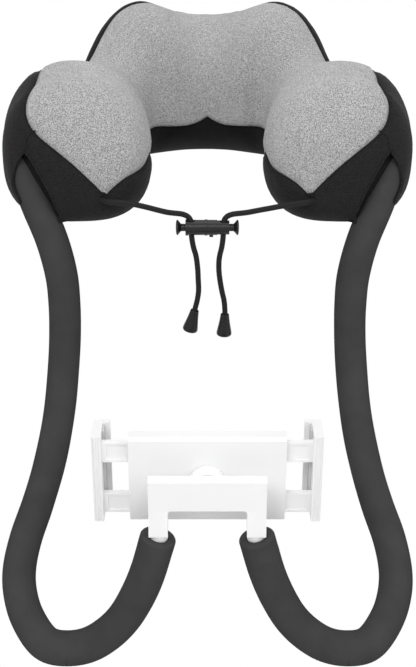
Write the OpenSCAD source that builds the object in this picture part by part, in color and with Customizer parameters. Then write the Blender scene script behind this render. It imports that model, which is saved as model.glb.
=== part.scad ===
// Neck phone holder: a U-shaped foam pillow carries two padded gooseneck arms, whose hooked
// ends hold a bracket, a ball joint and a sprung phone clamp. Millimetres, +Z up, +X right,
// the wearer faces -Y. The origin is the middle of the neck opening, in the pillow's base plane.

/* [Pillow] */
// Overall width across the two front lobes
pillow_w = 328; // [300:1:350]
// Depth from the front of the lobes to the back
pillow_d = 296; // [280:1:315]
// Height of the two humps at the back
hump_h = 139; // [125:1:150]
// Width of one front lobe
lobe_w = 120; // [110:1:126]
// Thickness of the cover's fabric
cover_t = 1.2; // [0.8:0.1:1.8]

/* [Arms] */
// Outer diameter of the foam sleeve
arm_d = 26; // [23:0.5:28]
// Diameter of the bendable metal core
core_d = 10; // [8:0.5:10.5]
// How far the hooks and the bracket stand in front of the origin
clamp_reach = 291; // [270:1:310]
// How far the middle of the clamp hangs below the pillow's base
clamp_drop = 130; // [115:1:145]
// Radius of the hook's first, tightest bend
hook_r1 = 38; // [34:1:44]
// Radius of the hook's middle bend
hook_r2 = 80; // [70:1:90]
// Radius of the hook's last, slow bend
hook_r3 = 200; // [170:5:230]
// Straight length of the sleeve below its mouth
hook_straight = 22; // [21:0.5:30]

/* [Bracket] */
// Width of the bracket's bar
bracket_w = 82.4; // [78:0.2:88]
// Height of the bracket's bar
bracket_h = 23; // [18:0.5:26]
// Thickness of the bracket's bar, front to back
bar_t = 9.4; // [8.6:0.1:11]
// Depth of the bracket's feet, front to back
bracket_t = 13.4; // [13.3:0.1:14]
// Diameter of the two legs and of their plugs
leg_d = 13.2; // [12.8:0.1:13.2]
// Distance from the ball's centre down to the sleeves' mouths
mouth_drop = 31.3; // [28:0.1:36]
// Depth of a leg's plug inside its sleeve
plug_len = 20; // [16:0.5:20.5]

/* [Ball joint] */
// Diameter of the ball
ball_d = 13; // [12:0.1:13.4]
// Distance from the bracket's middle plane to the ball's centre
ball_offset = 17.5; // [17.3:0.1:18.5]
// Diameter of the ring nut next to the plate
nut_d = 27; // [26:0.2:30]
// Diameter of the ring nut's front
nut_front_d = 25.6; // [25:0.2:26]
// Number of grip ribs round the ring nut
nut_ribs = 28; // [20:1:30]

/* [Clamp] */
// Width of the clamp's housing
plate_w = 112; // [108:1:118]
// Height of the clamp's housing
plate_h = 69; // [66:1:76]
// Thickness of the clamp's housing
plate_t = 11; // [10.6:0.1:13]
// Thickness of the housing's walls
shell_wall = 1.8; // [1.4:0.1:2]
// Height of one rail
rail_h = 16; // [12:0.5:18]
// Thickness of one rail
rail_t = 4.4; // [3.6:0.1:4.8]
// Distance between the middles of the two rails
rail_pitch = 42; // [40:0.5:44]
// Opening between the jaws as photographed
jaw_gap = 147; // [146:0.5:152]
// Height of a jaw
jaw_h = 70; // [64:1:76]
// Depth of a jaw, front to back
jaw_depth = 26; // [24:0.5:30]
// Thickness of a jaw's wall
jaw_wall = 6.9; // [5:0.1:8]
// Thickness of the rubber pads in the jaws
jaw_pad_t = 1.5; // [1:0.1:2]

/* [Draw cord] */
// Diameter of the round draw cord
cord_d = 4; // [3.6:0.1:4]
// Outer diameter of the cord lock's barrels
lock_d = 11.8; // [11.4:0.1:13]
// Length of one barrel
barrel_len = 17; // [16.9:0.1:18]
// Travel of a lock's push button
press_travel = 2.5; // [1.5:0.1:2.5]
// Length of a cord's bell end
bell_len = 18.5; // [16:0.5:24]
// Diameter of a bell end at its open rim
bell_d = 12.2; // [10:0.2:14]

/* [Zip] */
// Height of the cover's zip above the base
zip_z = 34; // [28:1:40]
// Angle that the zip runs to each side of the middle
zip_half_deg = 18; // [12:1:20]

/* [Hidden] */
$fn = 48;

// One overrun for every cut, and the gaps of the fits
cut = 1;
slip_gap = 0.05;
seat_gap = 0.3;

// The pillow's run from the middle of the back to the front of a lobe: the spine's place as
// shares of the lobes' offset and of the depth, the half thickness as a share of the lobe's
// width, and the top as a share of the humps' height
spine_shares = [
    [0, 0.459, 0.383, 0.899],
    [-0.273, 0.449, 0.404, 0.926],
    [-0.559, 0.403, 0.407, 1.006],
    [-0.75, 0.336, 0.308, 0.933],
    [-0.876, 0.24, 0.306, 0.69],
    [-0.961, 0.101, 0.358, 0.706],
    [-1.003, -0.036, 0.455, 0.766],
    [-1.013, -0.153, 0.488, 0.868],
    [-0.994, -0.245, 0.494, 0.832]
];
// The seams between the light top and the dark base, in degrees round the section at tenths
// of the run: 0 is the outer side, 90 the top and 180 the inner side
inner_seam_deg = [197, 207, 209, 206, 202, 198, 198, 198, 178, 180, 168];
outer_seam_deg = [84, 86, 80, 62, 52, 60, 62, 62, 57, 40, 50];
full_deg = 360;
lobe_x = (pillow_w - lobe_w) / 2;
nose_y_share = -0.385;
tip_x_share = -0.76;
tip_z_share = 0.216;
waist_share = 0.456;
top_power = 2.2;
base_power = 2.8;
cap_power = 0.74;
cap_start_share = 0.8;
cap_row_shares = [0.99, 0.95, 0.87, 0.76, 0.63, 0.48, 0.32, 0.16];
body_rows = 16;
top_columns = 9;
base_columns = 9;

// The arm from its end in the pocket down to the bottom of its hook, as shares of the
// bottom's place; the bottom itself is the last point
arm_route_shares = [
    [1.355, 0.234, -0.279],
    [1.389, 0.296, -0.191],
    [1.312, 0.333, -0.088],
    [1.195, 0.357, 0.031],
    [1.133, 0.366, 0.142],
    [1.12, 0.368, 0.237],
    [1.129, 0.366, 0.337],
    [1.15, 0.375, 0.444],
    [1.174, 0.416, 0.549],
    [1.205, 0.486, 0.634],
    [1.252, 0.5625, 0.711],
    [1.317, 0.636, 0.784],
    [1.389, 0.71, 0.85],
    [1.416, 0.7835, 0.901],
    [1.386, 0.856, 0.932],
    [1.305, 0.927, 0.962],
    [1.165, 0.987, 0.993],
    [1, 1, 1]
];
route_last = len(arm_route_shares) - 1;
// Steps of the arm in each row of the table, and where its parts meet, counted in steps
step_count = 4;
flex_start_count = 13;
flex_end_count = 21;
liner_end_count = 4;
ring_every_count = 2;
tube_sides = 14;
// Up to the first row the arm keeps its place in the lobe, from the last one on in the hook
held_row_count = 5;
free_row_count = 12;
lobe_hold_share = [-0.9961, -0.983, -1.8799];
hook_1_deg = 35;
hook_2_deg = 27;
hook_3_deg = 13.5;
hook_lean_deg = hook_1_deg + hook_2_deg + hook_3_deg;
flex_from = flex_start_count / step_count;
flex_to = flex_end_count / step_count;
liner_to = liner_end_count / step_count;
fine_step = 1 / step_count;
ring_step = ring_every_count / step_count;
bore_gap = 0.3;
arm_r = arm_d / 2;
core_r = core_d / 2;
bore_r = core_r + bore_gap;
socket_r = leg_d / 2 + bore_gap;
socket_len = plug_len + cut;
mouth_round = 1.2;
core_in_plug = 13;
liner_t = 0.8;
pocket_gap = 0.3;
channel_r = arm_r + pocket_gap + liner_t + pocket_gap;
pocket_end = 2.5;
cap_flange_t = 3;

// Places of the bracket, the ball and the clamp
leg_x = (bracket_w - leg_d) / 2 - 2 * slip_gap;
mouth_z = -clamp_drop - mouth_drop;
bracket_top_share = 0.61;
bracket_top_z = -clamp_drop + bracket_top_share * bracket_h;
ball_y = ball_offset - clamp_reach;
ball_r = ball_d / 2;
neck_r = 2.8;
elbow_swell = 0.15;
foot_rise = 3.2;
stud_flange_r = 5;
stud_flange_t = 1.5;
stud_shank_r = 3;
stud_shank_len = 6.5;
corner_fill = 1.6;
plate_y = ball_y + ball_r - 1.5 * cut;
plate_back_y = plate_y + plate_t;
liner_wall = 1.9;
liner_r = ball_r + liner_wall;
boss_wall = 1.95;
boss_r = liner_r + slip_gap + boss_wall;
boss_len = 9.4;
boss_slots = 4;
boss_slot_w = 1.2;
boss_slot_len = 6;
cup_floor_t = 1.2;
cup_rim = 1.6;
nut_len = 11.2;
nut_lip = 2;
nut_mouth_r = 7.2;
nut_gap = 0.4;
nut_rim = 1.4;
nut_hollow = 0.8;
rib_r = 0.7;
rail_y = plate_y + shell_wall + seat_gap + plate_t / 2 - 1.3 * cut;
plate_setback = 3;
plate_edge = 2;
jaw_out_travel = 18;
jaw_in_travel = 17;
crossbar_w = 3.5;
rod_d = 3;
rod_past_rib = 2;
rib_inset = 10;
rib_x = plate_w / 2 - rib_inset;
rod_rib_w = 2;
rod_rib_h = 8;
post_d = 5;
post_inset = 5;
post_x = plate_w / 2 - post_inset;
post_dz = 8.4;
screw_r = 0.95;
screw_head_r = 2;
screw_head_h = 1.2;
screw_len = 7;
spring_wall = 0.6;
pad_recess = 0.8;
front_pad_t = 1.5;
pad_margin = 6;
rail_slot_gap = 0.25;
rail_lip = 2;
rail_groove_d = 1;
jaw_front_gap = 1;
jaw_lip_t = 4;
jaw_lip_reach = 5;
jaw_edge = 1.2;
groove_w = 0.7;
groove_d = 0.6;
groove_count = 3;

// The lock, its buttons and the bell ends
lock_x = 0;
lock_y = -121;
lock_z = 7.9;
cord_r = cord_d / 2;
cord_hole_x = 12.3;
cord_gap = 0.2;
cord_bore_r = 3;
slot_spare = 0.3;
barrel_r = lock_d / 2;
plunger_r = 3.9;
plunger_neck_r = 2.95;
plunger_flare_r = 6;
plunger_in = 11;
plunger_neck_len = 3.6;
plunger_head_len = 3.8;
bulkhead = 1.2;
lock_spring_r = 3;
bead_w = 2;
bead_h = 0.4;
barrel_step = 0.4;
lug = 3;
bell_top_d = 7;
bell_wall = 1.1;
bell_tilt_left = 13;
bell_tilt_right = 2;
bell_grip = 3;

// Routes of the two draw cords, from the pillow's front seam through the lock to the bell
cord_sides = 8;
left_cord_route = [
    [-81.6, -113.9, 27.9], [-78.5, -117.8, 28], [-74.1, -120.5, 28.2], [-68.6, -121.3, 28.2],
    [-62.8, -121.3, 27.7], [-56.6, -121.3, 26.8], [-48, -121.2, 24.8], [-39, -121, 22.3],
    [-31, -121, 20.3], [-24.6, -121, 19.5], [-19.4, -121, 18.8], [-15.4, -121, 17],
    [-13.05, -121, 13.9], [-12.3, -121, 9.5], [-12.3, -121, 1], [-11, -121, -8],
    [-8.9, -121, -16], [-7.7, -121, -26], [-7.3, -121, -35], [-7, -121, -45], [-8, -121, -53],
    [-9.4, -121, -59], [-10.7, -121, -65]
];
right_cord_route = [
    [81.6, -113.9, 27.9], [78.5, -117.8, 27.9], [74.1, -120.5, 27.9], [68.6, -121.3, 27.3],
    [62.8, -121.3, 26.4], [56.6, -121.3, 25.3], [48, -121.2, 23.6], [39, -121, 21.8],
    [31, -121, 20.2], [24.6, -121, 19.4], [19.4, -121, 18.7], [15.4, -121, 17],
    [13.05, -121, 13.9], [12.3, -121, 9.5], [12.3, -121, 1], [11.3, -121, -8], [9.4, -121, -17],
    [9, -121, -26], [9.8, -121, -35], [11.4, -121, -45], [13.3, -121, -54], [14, -121, -62],
    [14, -121, -68.5]
];

// The zip runs on an arc about a vertical axis near the middle of the neck opening
zip_axis_y_share = -0.027;
zip_sink = 1.8;
zip_axis_y = zip_axis_y_share * pillow_d;
zip_r = spine_shares[0][1] * pillow_d + spine_shares[0][2] * lobe_w - zip_axis_y - zip_sink;
tape_w = 14;
tape_t = 0.9;
teeth_w = 4.4;
teeth_t = 1.6;
slider_l = 9;
slider_w = 8;
slider_t = 3.6;
lug_t = 2.4;
pull_l = 24;
pull_w = 6;
pull_t = 1.2;
pull_pin_r = 0.8;
zip_rest_deg = zip_half_deg - 2;

// Catmull-Rom blend of four rows
function blend(a, b, c, d, w) =
    (2 * b + (c - a) * w + (2 * a - 5 * b + 4 * c - d) * w * w
    + (3 * b - 3 * c + d - a) * w * w * w) / 2;

// A table's value at t, with the end rows carried on in a straight line
function row_at(table, i) =
    i < 0 ? 2 * table[0] - table[1]
    : i >= len(table) ? 2 * table[len(table) - 1] - table[len(table) - 2] : table[i];
function at(table, t) =
    let (i = max(0, min(len(table) - 2, floor(t))))
    blend(row_at(table, i - 1), table[i], row_at(table, i + 1), row_at(table, i + 2), t - i);

// The spine's row before the first is the second one on the other side
function spine_row(t) =
    let (i = max(0, min(len(spine_shares) - 2, floor(t))),
         twin = [-spine_shares[1][0], spine_shares[1][1], spine_shares[1][2], spine_shares[1][3]],
         before = i == 0 ? twin : spine_shares[i - 1],
         r = blend(before, spine_shares[i], spine_shares[i + 1], row_at(spine_shares, i + 2), t - i))
    [r[0] * lobe_x, r[1] * pillow_d, r[2] * lobe_w, r[3] * hump_h];
function unit(v) = v / norm(v);
function spine_normal(t) =
    let (e = 0.01,
         last = len(spine_shares) - 1,
         a = spine_row(max(t - e, 0)),
         b = spine_row(min(t + e, last)),
         d = unit([b[0] - a[0], b[1] - a[1]]))
    [d[1], -d[0]];

// A point of the left half of the pillow's skin, moved in by inset: a runs from the middle of
// the back to the front tip, v goes round the section in degrees
function left_skin(a, v, inset) =
    let (t = min(a / cap_start_share, 1) * (len(spine_shares) - 1),
         row = spine_row(t),
         n = spine_normal(t),
         q = max(0, (a - cap_start_share) / (1 - cap_start_share)),
         k = pow(cos(90 * q), cap_power),
         mid = waist_share * row[3],
         power = sin(v) >= 0 ? top_power : base_power,
         r = pow(pow(abs(cos(v)), power) + pow(abs(sin(v)), power), -1 / power),
         across = cos(v) * r * (row[2] - inset) * k,
         up = sin(v) * r * (sin(v) >= 0 ? row[3] - mid - inset : mid - inset) * k,
         nose = nose_y_share * pillow_d + inset)
    [row[0] + n[0] * across + (1 - k) * (tip_x_share * lobe_x - row[0]),
     row[1] + n[1] * across + sin(90 * q) * (nose - spine_shares[len(spine_shares) - 1][1] * pillow_d),
     mid + up + (1 - k) * (tip_z_share * hump_h - mid)];
function skin(s, v, inset) =
    let (p = left_skin(abs(s), v, inset))
    s < 0 ? p : [-p[0], p[1], p[2]];

// The rows along the whole pillow, from the left tip round the back to the right tip
left_rows = concat(
    [for (q = cap_row_shares) -(cap_start_share + (1 - cap_start_share) * q)],
    [for (i = [0:body_rows - 1]) -cap_start_share * (1 - i / body_rows)]);
all_rows = concat(left_rows, [0], [for (i = [len(left_rows) - 1:-1:0]) -left_rows[i]]);

// Solids from rings of points; each ring goes the same way round
function flat(lists) = [for (l = lists) each l];
// The quads' diagonals turn the other way on a sheet's back, from the column named back_from,
// and on the right half, so that a sheet's two faces and the two halves of a body agree.
function quads(rings, sides, wrap, back_from, mirror_from) = [
    for (i = [0:rings - (wrap ? 1 : 2)], j = [0:sides - 1])
        let (a = i * sides + j,
             b = i * sides + (j + 1) % sides,
             c = ((i + 1) % rings) * sides + (j + 1) % sides,
             d = ((i + 1) % rings) * sides + j,
             back = !is_undef(back_from) && j >= back_from,
             right = i >= mirror_from)
        each back != right ? [[a, d, b], [b, d, c]] : [[a, c, b], [a, d, c]]
];
module ring_solid(rings, back_from, mirrored = false) {
    sides = len(rings[0]);
    count = len(rings);
    polyhedron(
        points = flat(rings),
        faces = concat(
            [[for (j = [0:sides - 1]) j]],
            quads(count, sides, false, back_from, mirrored ? (count - 1) / 2 : count),
            [[for (j = [sides - 1:-1:0]) (count - 1) * sides + j]]));
}
module ring_pipe(outer, inner) {
    rings = concat(outer, [for (i = [len(inner) - 1:-1:0]) inner[i]]);
    polyhedron(
        points = flat(rings),
        faces = quads(len(rings), len(rings[0]), true, undef, len(rings)));
}

// The arm's path: its bottom lies straight below the hook's mouth by the hook's own rise
function arc_end(p, heading, r, turn) =
    p + r * [sin(heading + turn) - sin(heading), cos(heading) - cos(heading + turn)];
hook_p1 = arc_end([0, 0], 0, hook_r1, hook_1_deg);
hook_p2 = arc_end(hook_p1, hook_1_deg, hook_r2, hook_2_deg);
hook_p3 = arc_end(hook_p2, hook_1_deg + hook_2_deg, hook_r3, hook_3_deg);
hook_p4 = hook_p3 + hook_straight * [cos(hook_lean_deg), sin(hook_lean_deg)];
bottom = [-leg_x - hook_p4[0], -clamp_reach, mouth_z - hook_p4[1]];
lobe_hold = [lobe_hold_share[0] * lobe_x, lobe_hold_share[1] * pillow_d, lobe_hold_share[2] * hump_h];
arm_points = [for (i = [0:route_last])
    let (s = arm_route_shares[i],
         w = max(0, min(1, (free_row_count - i) / (free_row_count - held_row_count))),
         from = w * lobe_hold + (1 - w) * bottom)
    [s[0] * from[0], s[1] * from[1], s[2] * from[2]]];
arm_twin = [2 * bottom[0] - arm_points[route_last - 1][0], arm_points[route_last - 1][1],
    arm_points[route_last - 1][2]];
function arm_at(t) =
    let (i = max(0, min(route_last - 1, floor(t))),
         after = i + 2 > route_last ? arm_twin : arm_points[i + 2])
    blend(row_at(arm_points, i - 1), arm_points[i], arm_points[i + 1], after, t - i);
function arm_dir(t) =
    let (e = 0.02)
    t >= route_last ? [1, 0, 0] : unit(arm_at(t + e) - arm_at(max(t - e, 0)));

// Frames carried along the arm from its bottom up, so that rings don't twist
fine_count = route_last / fine_step;
arm_frames = [
    for (k = 0, d = arm_dir(route_last), n = [0, 0, 1];
         k <= fine_count;
         k = k + 1,
         d = arm_dir(max(route_last - k * fine_step, 0)),
         n = unit(n - (n * d) * d))
    [arm_at(route_last - k * fine_step), d, n]
];
function ring(frame, r) =
    let (b = cross(frame[1], frame[2]))
    [for (j = [0:tube_sides - 1])
        let (u = 360 * j / tube_sides)
        frame[0] + r * (cos(u) * frame[2] + sin(u) * b)];
function arm_frame(t) = arm_frames[round((route_last - t) / fine_step)];
function arm_part(from, to) =
    concat([for (t = [from:ring_step:to - ring_step / 2]) arm_frame(t)], [arm_frame(to)]);
function moved(frame, by) = [frame[0] + by * frame[1], frame[1], frame[2]];

// Frames along the hook, from the bottom to its mouth
function hook_frame(p, heading) =
    [bottom + [p[0], 0, p[1]], [cos(heading), 0, sin(heading)], [-sin(heading), 0, cos(heading)]];
hook_bend = concat(
    [for (i = [0:5]) hook_frame(arc_end([0, 0], 0, hook_r1, hook_1_deg * i / 5), hook_1_deg * i / 5)],
    [for (i = [1:3]) hook_frame(arc_end(hook_p1, hook_1_deg, hook_r2, hook_2_deg * i / 3),
        hook_1_deg + hook_2_deg * i / 3)],
    [for (i = [1:2]) hook_frame(arc_end(hook_p2, hook_1_deg + hook_2_deg, hook_r3, hook_3_deg * i / 2),
        hook_1_deg + hook_2_deg + hook_3_deg * i / 2)]);
hook_end = hook_frame(hook_p4, hook_lean_deg);
mouth = hook_end[0];

module on_side(side) {
    if (side < 0) children();
    else mirror([1, 0, 0]) children();
}

// Pillow
module skin_sheet(from_deg, to_deg, columns) {
    inner_rows = [for (s = all_rows) [for (j = [columns:-1:0])
        skin(s, from_deg(s) + (to_deg(s) - from_deg(s)) * j / columns, cover_t)]];
    outer_rows = [for (s = all_rows) [for (j = [0:columns])
        skin(s, from_deg(s) + (to_deg(s) - from_deg(s)) * j / columns, 0)]];
    ring_solid(
        [for (i = [0:len(all_rows) - 1]) concat(outer_rows[i], inner_rows[i])],
        back_from = columns + 1,
        mirrored = true);
}
function outer_seam(s) = at(outer_seam_deg, (len(outer_seam_deg) - 1) * abs(s));
function inner_seam(s) = at(inner_seam_deg, (len(inner_seam_deg) - 1) * abs(s));
module arm_channels() {
    frames = concat([moved(arm_frame(0), -pocket_end)], arm_part(0, flex_from));
    for (side = [-1, 1])
        on_side(side)
            ring_solid([for (f = frames) ring(f, channel_r)]);
}
module pillow_core() {
    inset = cover_t + seat_gap;
    color("gainsboro")
        difference() {
            ring_solid([for (s = all_rows) concat(
                [for (j = [0:top_columns - 1])
                    skin(s, outer_seam(s) + (inner_seam(s) - outer_seam(s)) * j / top_columns, inset)],
                [for (j = [0:base_columns - 1])
                    skin(s, inner_seam(s) + (full_deg + outer_seam(s) - inner_seam(s)) * j / base_columns,
                        inset)])], mirrored = true);
            arm_channels();
            zip_band(slider_w + 2 * seat_gap, zip_half_deg + 1, zip_r - tape_t - seat_gap,
                zip_r + lobe_w / 8);
        }
}
module top_panel() {
    color("darkgray")
        skin_sheet(function(s) outer_seam(s), function(s) inner_seam(s), top_columns);
}
module base_panel() {
    color([0.1, 0.1, 0.11])
        difference() {
            skin_sheet(function(s) inner_seam(s), function(s) full_deg + outer_seam(s), base_columns);
            arm_channels();
            zip_band(slider_w + seat_gap, zip_half_deg + 1, zip_r - lobe_w / 8, zip_r + lobe_w / 8);
        }
}
module pocket_liner(side) {
    frames = arm_part(0, liner_to);
    inner_r = arm_r + pocket_gap;
    color([0.08, 0.08, 0.09])
        on_side(side)
            ring_pipe([for (f = frames) ring(f, inner_r + liner_t)], [for (f = frames) ring(f, inner_r)]);
}

// Zip
module zip_band(height, half_deg, r0, r1) {
    translate([0, zip_axis_y, zip_z - height / 2])
        rotate([0, 0, 90 - half_deg])
            rotate_extrude(angle = 2 * half_deg, $fn = 180)
                translate([r0, 0])
                    square([r1 - r0, height]);
}
module zip_chain() {
    color([0.12, 0.12, 0.13]) {
        zip_band(teeth_w, zip_half_deg, zip_r - tape_t / 2, zip_r + teeth_t - tape_t / 2);
        zip_band(slider_w, zip_half_deg, zip_r - tape_t, zip_r - tape_t / 2);
    }
}
module at_slider() {
    translate([0, zip_axis_y, zip_z])
        rotate([0, 0, -zip_rest_deg])
            translate([0, zip_r, 0])
                children();
}
module zip_slider() {
    lift = teeth_t - tape_t / 2 + seat_gap;
    color([0.2, 0.2, 0.21])
        at_slider() {
            translate([-slider_l / 2, lift, -slider_w / 2])
                cube([slider_l, slider_t - lift, slider_w]);
            difference() {
                translate([-lug_t / 2, slider_t - cut, -slider_w / 4])
                    cube([lug_t, lug_t + cut, slider_w / 2]);
                translate([-lug_t, slider_t + lug_t / 2, 0])
                    rotate([0, 90, 0])
                        cylinder(r = pull_pin_r + slip_gap, h = 2 * lug_t, $fn = 24);
            }
        }
}
module zip_pull() {
    arm_gap = lug_t / 2 + seat_gap;
    color([0.2, 0.2, 0.21])
        at_slider()
            translate([0, slider_t + lug_t / 2, 0]) {
                rotate([0, 90, 0])
                    translate([0, 0, -pull_w / 2])
                        cylinder(r = pull_pin_r, h = pull_w, $fn = 24);
                for (side = [-1, 1])
                    translate([side * (arm_gap + pull_w / 2) / 2 - (pull_w / 2 - arm_gap) / 2, -pull_t / 2, -pull_l / 3])
                        cube([pull_w / 2 - arm_gap, pull_t, pull_l / 3 + pull_pin_r]);
                translate([-pull_w / 2, -pull_t / 2, -pull_l])
                    cube([pull_w, pull_t, pull_l * 2 / 3 + slip_gap]);
            }
}

// Draw cord, bells and lock
function tangent(points, i) = unit(points[min(i + 1, len(points) - 1)] - points[max(i - 1, 0)]);
module cord_tube(route) {
    side = [0, 1, 0];
    color([0.07, 0.07, 0.08])
        ring_solid([for (i = [0:len(route) - 1])
            let (d = tangent(route, i),
                 flat_side = unit(cross(d, i < 2 ? [0, 0, 1] : side)),
                 b = cross(d, flat_side))
            [for (j = [0:cord_sides - 1])
                let (u = 360 * (j + 0.5) / cord_sides)
                route[i] + cord_r * (cos(u) * flat_side + sin(u) * b)]]);
}
module cord_end(route, tilt) {
    last = len(route) - 1;
    end = route[last];
    color([0.05, 0.05, 0.06])
        translate(end - bell_grip * tangent(route, last))
            rotate([0, tilt, 0])
                difference() {
                    rotate_extrude()
                        bell_outline();
                    translate([0, 0, -bell_grip - slip_gap])
                        cylinder(r = cord_r + slip_gap, h = bell_grip + cut);
                }
}
module bell_outline() {
    top_r = bell_top_d / 2;
    rim_r = bell_d / 2;
    polygon([
        [0, 0], [top_r, 0], [top_r * 1.1, -bell_len * 0.25], [rim_r * 0.82, -bell_len * 0.6],
        [rim_r, -bell_len * 0.9], [rim_r * 0.8, -bell_len], [0, -bell_len]]);
}
module at_lock(side) {
    translate([lock_x, lock_y, lock_z])
        on_side(side)
            rotate([0, -90, 0])
                children();
}
module cord_passage(r) {
    translate([0, 0, cord_hole_x])
        rotate([0, 90, 0])
            cylinder(r = r, h = 4 * barrel_r, center = true);
}
module lock_barrel(side) {
    color([0.06, 0.06, 0.07])
        at_lock(side)
            difference() {
                union() {
                    cylinder(r = barrel_r - (side > 0 ? barrel_step : 0), h = barrel_len);
                    if (side > 0)
                        cylinder(r = barrel_r, h = barrel_len * 0.45);
                    if (side < 0)
                        translate([0, 0, barrel_len - bead_w])
                            cylinder(r = barrel_r + bead_h, h = bead_w);
                    if (side < 0)
                        cylinder(r = barrel_r + bead_h, h = bead_w);
                    if (side > 0)
                        translate([-barrel_r - lug / 2, -lug / 2, lug / 2])
                            cube([lug, lug, lug]);
                }
                translate([0, 0, bulkhead])
                    cylinder(r = plunger_r + slip_gap, h = barrel_len);
                cord_passage(cord_bore_r);
            }
}
module lock_plunger(side) {
    color([0.06, 0.06, 0.07])
        at_lock(side)
            difference() {
                union() {
                    translate([0, 0, barrel_len - plunger_in])
                        cylinder(r = plunger_r, h = plunger_in);
                    translate([0, 0, barrel_len - cut])
                        cylinder(r = plunger_neck_r, h = plunger_neck_len + cut);
                    translate([0, 0, barrel_len + plunger_neck_len])
                        cylinder(r1 = plunger_neck_r, r2 = plunger_flare_r, h = plunger_head_len);
                }
                for (reach = [0, press_travel + slot_spare])
                    translate([0, 0, reach])
                        cord_passage(cord_r + cord_gap);
                translate([-barrel_r, -cord_r - cord_gap, cord_hole_x])
                    cube([2 * barrel_r, 2 * (cord_r + cord_gap), press_travel + slot_spare]);
            }
}
module lock_spring(side) {
    color("silver")
        at_lock(side)
            translate([0, 0, bulkhead])
                difference() {
                    cylinder(r = lock_spring_r, h = barrel_len - plunger_in - bulkhead);
                    translate([0, 0, -cut])
                        cylinder(r = lock_spring_r - spring_wall, h = barrel_len);
                }
}

// Arms
module sleeve(side, frames) {
    color([0.09, 0.09, 0.1])
        on_side(side)
            ring_pipe([for (f = frames) ring(f, arm_r)], [for (f = frames) ring(f, bore_r)]);
}
module gooseneck(side, frames) {
    color("silver")
        on_side(side)
            ring_solid([for (f = frames) ring(f, core_r)]);
}
module sleeve_hook(side) {
    outer = concat(
        [for (f = hook_bend) ring(f, arm_r)],
        [ring(moved(hook_end, -mouth_round), arm_r), ring(hook_end, arm_r - mouth_round)]);
    inner = concat(
        [for (f = hook_bend) ring(f, bore_r)],
        [ring(moved(hook_end, -socket_len), bore_r), ring(moved(hook_end, -socket_len), socket_r),
         ring(hook_end, socket_r)]);
    color([0.09, 0.09, 0.1])
        on_side(side)
            ring_pipe(outer, inner);
}
module gooseneck_hook(side) {
    gooseneck(side, concat(hook_bend, [moved(hook_end, core_in_plug - plug_len)]));
}
pocket_frames = arm_part(0, flex_from);
pocket_top = pocket_frames[0];
module gooseneck_pocket(side) {
    rest = [for (i = [1:len(pocket_frames) - 1]) pocket_frames[i]];
    gooseneck(side, concat([moved(arm_frame(fine_step), seat_gap)], rest));
}
module arm_end_cap(side) {
    color([0.2, 0.2, 0.22])
        on_side(side)
            ring_solid([
                ring(moved(pocket_top, -cap_flange_t * 2 / 3), arm_r - 2 * mouth_round),
                ring(moved(pocket_top, -cap_flange_t / 2), arm_r - mouth_round),
                ring(pocket_top, arm_r - mouth_round),
                ring(pocket_top, core_r - bore_gap),
                ring(arm_frame(fine_step), core_r - bore_gap)]);
}

// Bracket and ball joint
module bracket() {
    bar_bottom = bracket_top_z - bracket_h;
    back_y = -clamp_reach + bracket_t / 2;
    foot_z = mouth[2] + foot_rise;
    color("white")
        difference() {
            union() {
                difference() {
                    translate([0, back_y, 0])
                        rotate([90, 0, 0])
                            linear_extrude(bracket_t)
                                bracket_outline(bar_bottom, foot_z);
                    translate([-bracket_w, 0, 0])
                        rotate([90, 0, 90])
                            linear_extrude(2 * bracket_w)
                                polygon([[back_y - bar_t, bracket_top_z + cut], [back_y - bar_t, bar_bottom],
                                    [back_y - bracket_t, foot_z + slip_gap], [back_y - bracket_t - cut, foot_z],
                                    [back_y - bracket_t - cut, bracket_top_z + cut]]);
                }
                for (side = [-1, 1])
                    on_side(side)
                        bracket_foot();
            }
            for (side = [-1, 1])
                on_side(side)
                    at_mouth()
                        translate([0, 0, -plug_len - cut])
                            cylinder(r = core_r + 2 * slip_gap, h = core_in_plug + cut + seat_gap);
            translate([0, -clamp_reach + bracket_t / 2 + cut, -clamp_drop])
                rotate([90, 0, 0])
                    cylinder(r = stud_shank_r + slip_gap, h = stud_shank_len + cut + seat_gap);
        }
}
module bracket_outline(bar_bottom, foot_z) {
    half = bracket_w / 2;
    inner = half - leg_d - 4 * slip_gap;
    polygon([[-half, bracket_top_z], [-half, foot_z], [-inner, foot_z], [-inner, bar_bottom - corner_fill],
        [corner_fill - inner, bar_bottom], [inner - corner_fill, bar_bottom],
        [inner, bar_bottom - corner_fill], [inner, foot_z], [half, foot_z], [half, bracket_top_z]]);
}
// The round foot of a leg and its plug
module bracket_foot() {
    translate(mouth)
        cylinder(r = leg_d / 2, h = foot_rise + 2 * slip_gap);
    translate(mouth)
        sphere(r = leg_d / 2 + elbow_swell);
    at_mouth()
        translate([0, 0, -plug_len])
            cylinder(r = leg_d / 2, h = plug_len);
}
module at_mouth() {
    translate(mouth)
        rotate([0, 90 - hook_lean_deg, 0])
            children();
}
module along_back(y) {
    translate([0, y, -clamp_drop])
        rotate([-90, 0, 0])
            children();
}
module ball_stud() {
    face = -clamp_reach + bracket_t / 2;
    color("white")
        union() {
            along_back(ball_y)
                sphere(r = ball_r, $fn = 64);
            along_back(face)
                cylinder(r = neck_r, h = ball_y - face);
            along_back(face)
                cylinder(r = stud_flange_r, h = stud_flange_t);
            along_back(face - stud_shank_len)
                cylinder(r = stud_shank_r, h = stud_shank_len + stud_flange_t / 2);
        }
}
liner_back = plate_y + shell_wall + seat_gap;
liner_front = ball_y - ball_r * 0.7;
module ball_liner() {
    color("dimgray")
        difference() {
            along_back(liner_front)
                cylinder(r = liner_r, h = liner_back - liner_front);
            along_back(ball_y)
                sphere(r = ball_r + slip_gap, $fn = 64);
            along_back(liner_front - cut)
                cylinder(r = ball_r * 0.75, h = ball_y - liner_front);
        }
}
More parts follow.
